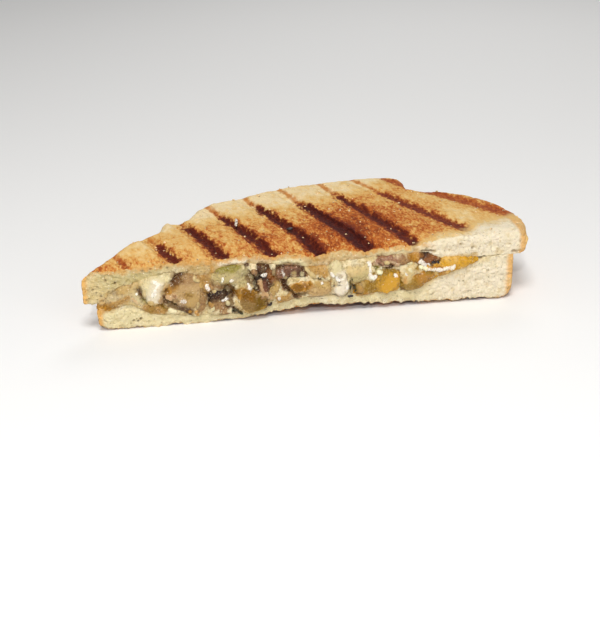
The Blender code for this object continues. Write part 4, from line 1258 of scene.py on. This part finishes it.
# %% Model the mushrooms, leek, onion and drip
PIECE_VOXEL = 0.40
PIECE_SWELL = 0.22
PIECES = {
    "mushroom_chunk": ("mushroom", "mushroom", 0.26, (
        (-41.0, -0.4, 14.5, 3.6, 1.1, 3.4, 30), (-43.5, -0.7, 8.4, 4.8, 0.9, 0.9, -38),
        (-37.2, -0.4, 8.6, 1.4, 1.0, 3.4, 10))),
    "mushroom_dark_left": ("mushroom", "mushroom", 0.24, (
        (-29.6, -0.7, 10.4, 3.4, 1.0, 1.4, 0), (-30.4, -0.3, 6.6, 2.6, 0.9, 1.2, 0))),
    "mushroom_dark_right": ("mushroom", "mushroom", 0.28, (
        (-15.0, -0.9, 17.4, 2.4, 1.0, 1.5, 10), (-14.8, -0.7, 12.6, 1.2, 1.0, 2.6, 10))),
    "mushroom_cap_slice": ("mushroom", "mushroom", 0.22, (
        (-4.8, -1.0, 17.2, 5.0, 1.1, 2.0, -4), (-0.4, -0.8, 16.0, 1.8, 1.0, 1.2, -30),
        (-1.0, -0.4, 11.4, 4.6, 1.2, 1.3, -8), (-9.6, -0.4, 10.6, 1.4, 1.0, 3.0, 28))),
    "mushroom_right": ("mushroom", "mushroom", 0.26, (
        (30.6, -0.4, 18.4, 4.6, 1.0, 1.2, 6), (35.0, -0.4, 18.8, 2.4, 1.0, 1.2, 0))),
    "mushroom_end": ("mushroom", "mushroom", 0.2, ((40.4, -0.3, 18.6, 1.8, 0.7, 1.6, 0),)),
    "leek_piece": ("leek", "leek", 0.24, (
        (-26.6, -0.3, 18.8, 3.8, 0.9, 1.2, 8), (-27.6, -0.3, 15.8, 2.2, 0.9, 1.2, 0))),
    "onion_piece": ("onion", "onion", 0.14, ((37.4, -0.6, 13.8, 1.4, 0.9, 1.8, 10),)),
    "cheese_drip": ("yellow", "yellow_cheese", 0.24, (
        (-18.2, -0.8, 9.2, 4.2, 1.1, 1.8, -20), (-20.0, -0.5, 6.0, 2.2, 1.1, 2.2, 0),
        (-15.2, -0.5, 6.6, 1.8, 1.0, 2.6, -10))),
}

for order, (node, (finish, slot, height, lumps)) in enumerate(PIECES.items()):
    piece = melt(node + "_cooked", node, PIECE_VOXEL, PIECE_SWELL, height, lumps, 50 + 4 * order)
    piece.data.materials.append(FINISHES[finish])
    dress(piece, slot, node)

# %% [markdown]
# In the real half the cheese has run into every groove between the pieces. To get that film, the front of
# all the filling is fused into one skin and smoothed until its grooves fill up. It lies just under the
# pieces where they bulge, so it shows only between them.

# %% Fill the grooves with cheese
FILM_DEPTH = 5.0
FILM_VOXEL = 0.42
FILM_SMOOTHING = 7
FILM_SWELL = 0.34
FILM_HEIGHT = 0.16

bm = bmesh.new()
for node in [entry[0] for entry in LAYERS.values()] + list(PIECES):
    bm.from_mesh(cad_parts[node].data)
bmesh.ops.remove_doubles(bm, verts=bm.verts, dist=WELD)
everything = bm.verts[:] + bm.edges[:] + bm.faces[:]
bmesh.ops.bisect_plane(
    bm, geom=everything, plane_co=at(0, FILM_DEPTH, 0), plane_no=(0, 1, 0), clear_outer=True)
bmesh.ops.holes_fill(bm, edges=[edge for edge in bm.edges if edge.is_boundary])
film = reskin("cheese_film", bm, FILM_VOXEL, FILM_SMOOTHING)
add_fine_strip(film)
brush(film, FILLING_STROKES, FILLING_WARP)
ruffle(film, FILM_SWELL, FILM_HEIGHT, 90)
film.data.materials.append(FINISHES["white"])
dress(film, "white_cheese")

# %% [markdown]
# Herbs, pepper and loose crumbs are too small for solids. Each kind is one mesh of small uneven lumps
# joined together: the ones that the eye finds lie where the real ones do, and the rest are strewn.

# %% Make small bits
BIT_VOXEL = 0.16
BIT_RELIEF = 0.12


def plain_finish(name, base, rough, shine):
    material, start, shader = new_finish(name)
    mottle = speckle(in_millimetres(start), 0.6)
    dark = tone(*(0.6 * value for value in base))
    set_shader(shader, {
        "Base Color": blend(tone(*base), dark, smooth(mottle, 0.4, 0.65)),
        "Roughness": rough,
        "Specular IOR Level": shine,
    })
    return material


def add_bits(name, bits, finish, slot):
    """One mesh of small lumps, each a place, three half sizes and a turn."""
    bm = bmesh.new()
    for bit in bits:
        add_lump(bm, *bit)
    piece = reskin(name, bm, BIT_VOXEL, 1)
    points, normals = points_of(piece)
    move_points(piece, points + normals * (BIT_RELIEF * unevenness(points, 0.5, 95))[:, None])
    piece.data.materials.append(finish)
    dress(piece, slot)


print("bits are wrapped with a voxel of", BIT_VOXEL, "mm")

# %% [markdown]
# The flecks of herb hang on the wet cheese, pepper lies where it fell, and a shred of dry cheese in three
# bends lies on the fourth mark. All of them are set one by one, because the eye goes to them first.

# %% Set herbs, pepper and a shred of cheese
HERBS = (
    (-23.6, -1.0, 4.2, 1.5, 0.4, 0.5, -40), (-22.0, -0.9, 2.9, 0.9, 0.4, 0.4, -20),
    (-25.6, -1.0, 6.0, 0.8, 0.4, 0.4, -60), (16.9, -1.3, 12.6, 0.25, 0.3, 0.8, 6),
    (16.4, -1.4, 9.6, 0.3, 0.3, 1.2, -8), (17.8, -1.3, 9.4, 0.5, 0.3, 0.6, 10),
    (18.2, -1.3, 8.2, 0.6, 0.25, 0.25, 40), (5.2, -0.9, 13.9, 1.3, 0.35, 0.3, -40),
    (7.8, -1.0, 12.6, 1.1, 0.35, 0.3, -20),
)
PEPPER = (
    (16.4, -1.3, 6.3, 1.2, 0.5, 0.5, 0), (27.1, -1.6, 9.4, 0.85, 0.5, 0.6, -10),
    (-12.0, -0.9, 5.6, 1.0, 0.5, 0.75, 20), (46.2, -0.8, 16.4, 1.0, 0.5, 0.5, -10),
    (47.8, -0.6, 16.1, 0.6, 0.4, 0.5, 0), (-1.2, 19.2, 24.8, 1.2, 1.0, 0.5, 0),
)
SHRED = (
    (-18.6, 30.4, 25.2, 0.5, 1.5, 0.35, 0), (-19.0, 28.0, 25.2, 0.5, 1.6, 0.35, 0),
    (-19.5, 25.8, 25.2, 0.45, 1.4, 0.35, 0),
)
add_bits("herb_flecks", HERBS, plain_finish("dark_herbs", (72, 66, 34), 0.4, 0.4), "leek")
add_bits("pepper_grains", PEPPER, plain_finish("black_pepper", (44, 26, 22), 0.35, 0.5), "mushroom")
add_bits("cheese_shred", SHRED, plain_finish("dry_cheese", (246, 232, 214), 0.4, 0.4), "white_cheese")

# %% [markdown]
# Toasted bread sheds crumbs. They are strewn over the crust by a seeded draw, so that they lie in the same
# places on each run, and they are small enough to read as light specks on the dark marks.

# %% Strew crumbs over the crust
CRUMBS = 90
CRUMB_SEED = 31
CRUMB_HALF_SIZES = (0.24, 0.58)
CRUMB_FLATNESS = 0.6
ON_CRUST = 0.1

draw = np.random.default_rng(CRUMB_SEED)
points, normals = points_of(upper)
top = points[(normals[:, 2] > 0.8) & (points[:, 1] > 1.0)]
spots = top[draw.integers(len(top), size=CRUMBS)]
sizes = draw.uniform(*CRUMB_HALF_SIZES, (CRUMBS, 3))
crumbs = [
    (x, y, z + ON_CRUST, wide, deep, CRUMB_FLATNESS * high, 0.0)
    for (x, y, z), (wide, deep, high) in zip(spots, sizes)]
add_bits("crust_crumbs", crumbs, plain_finish("toast_crumb", (246, 210, 158), 0.5, 0.4), "bread")
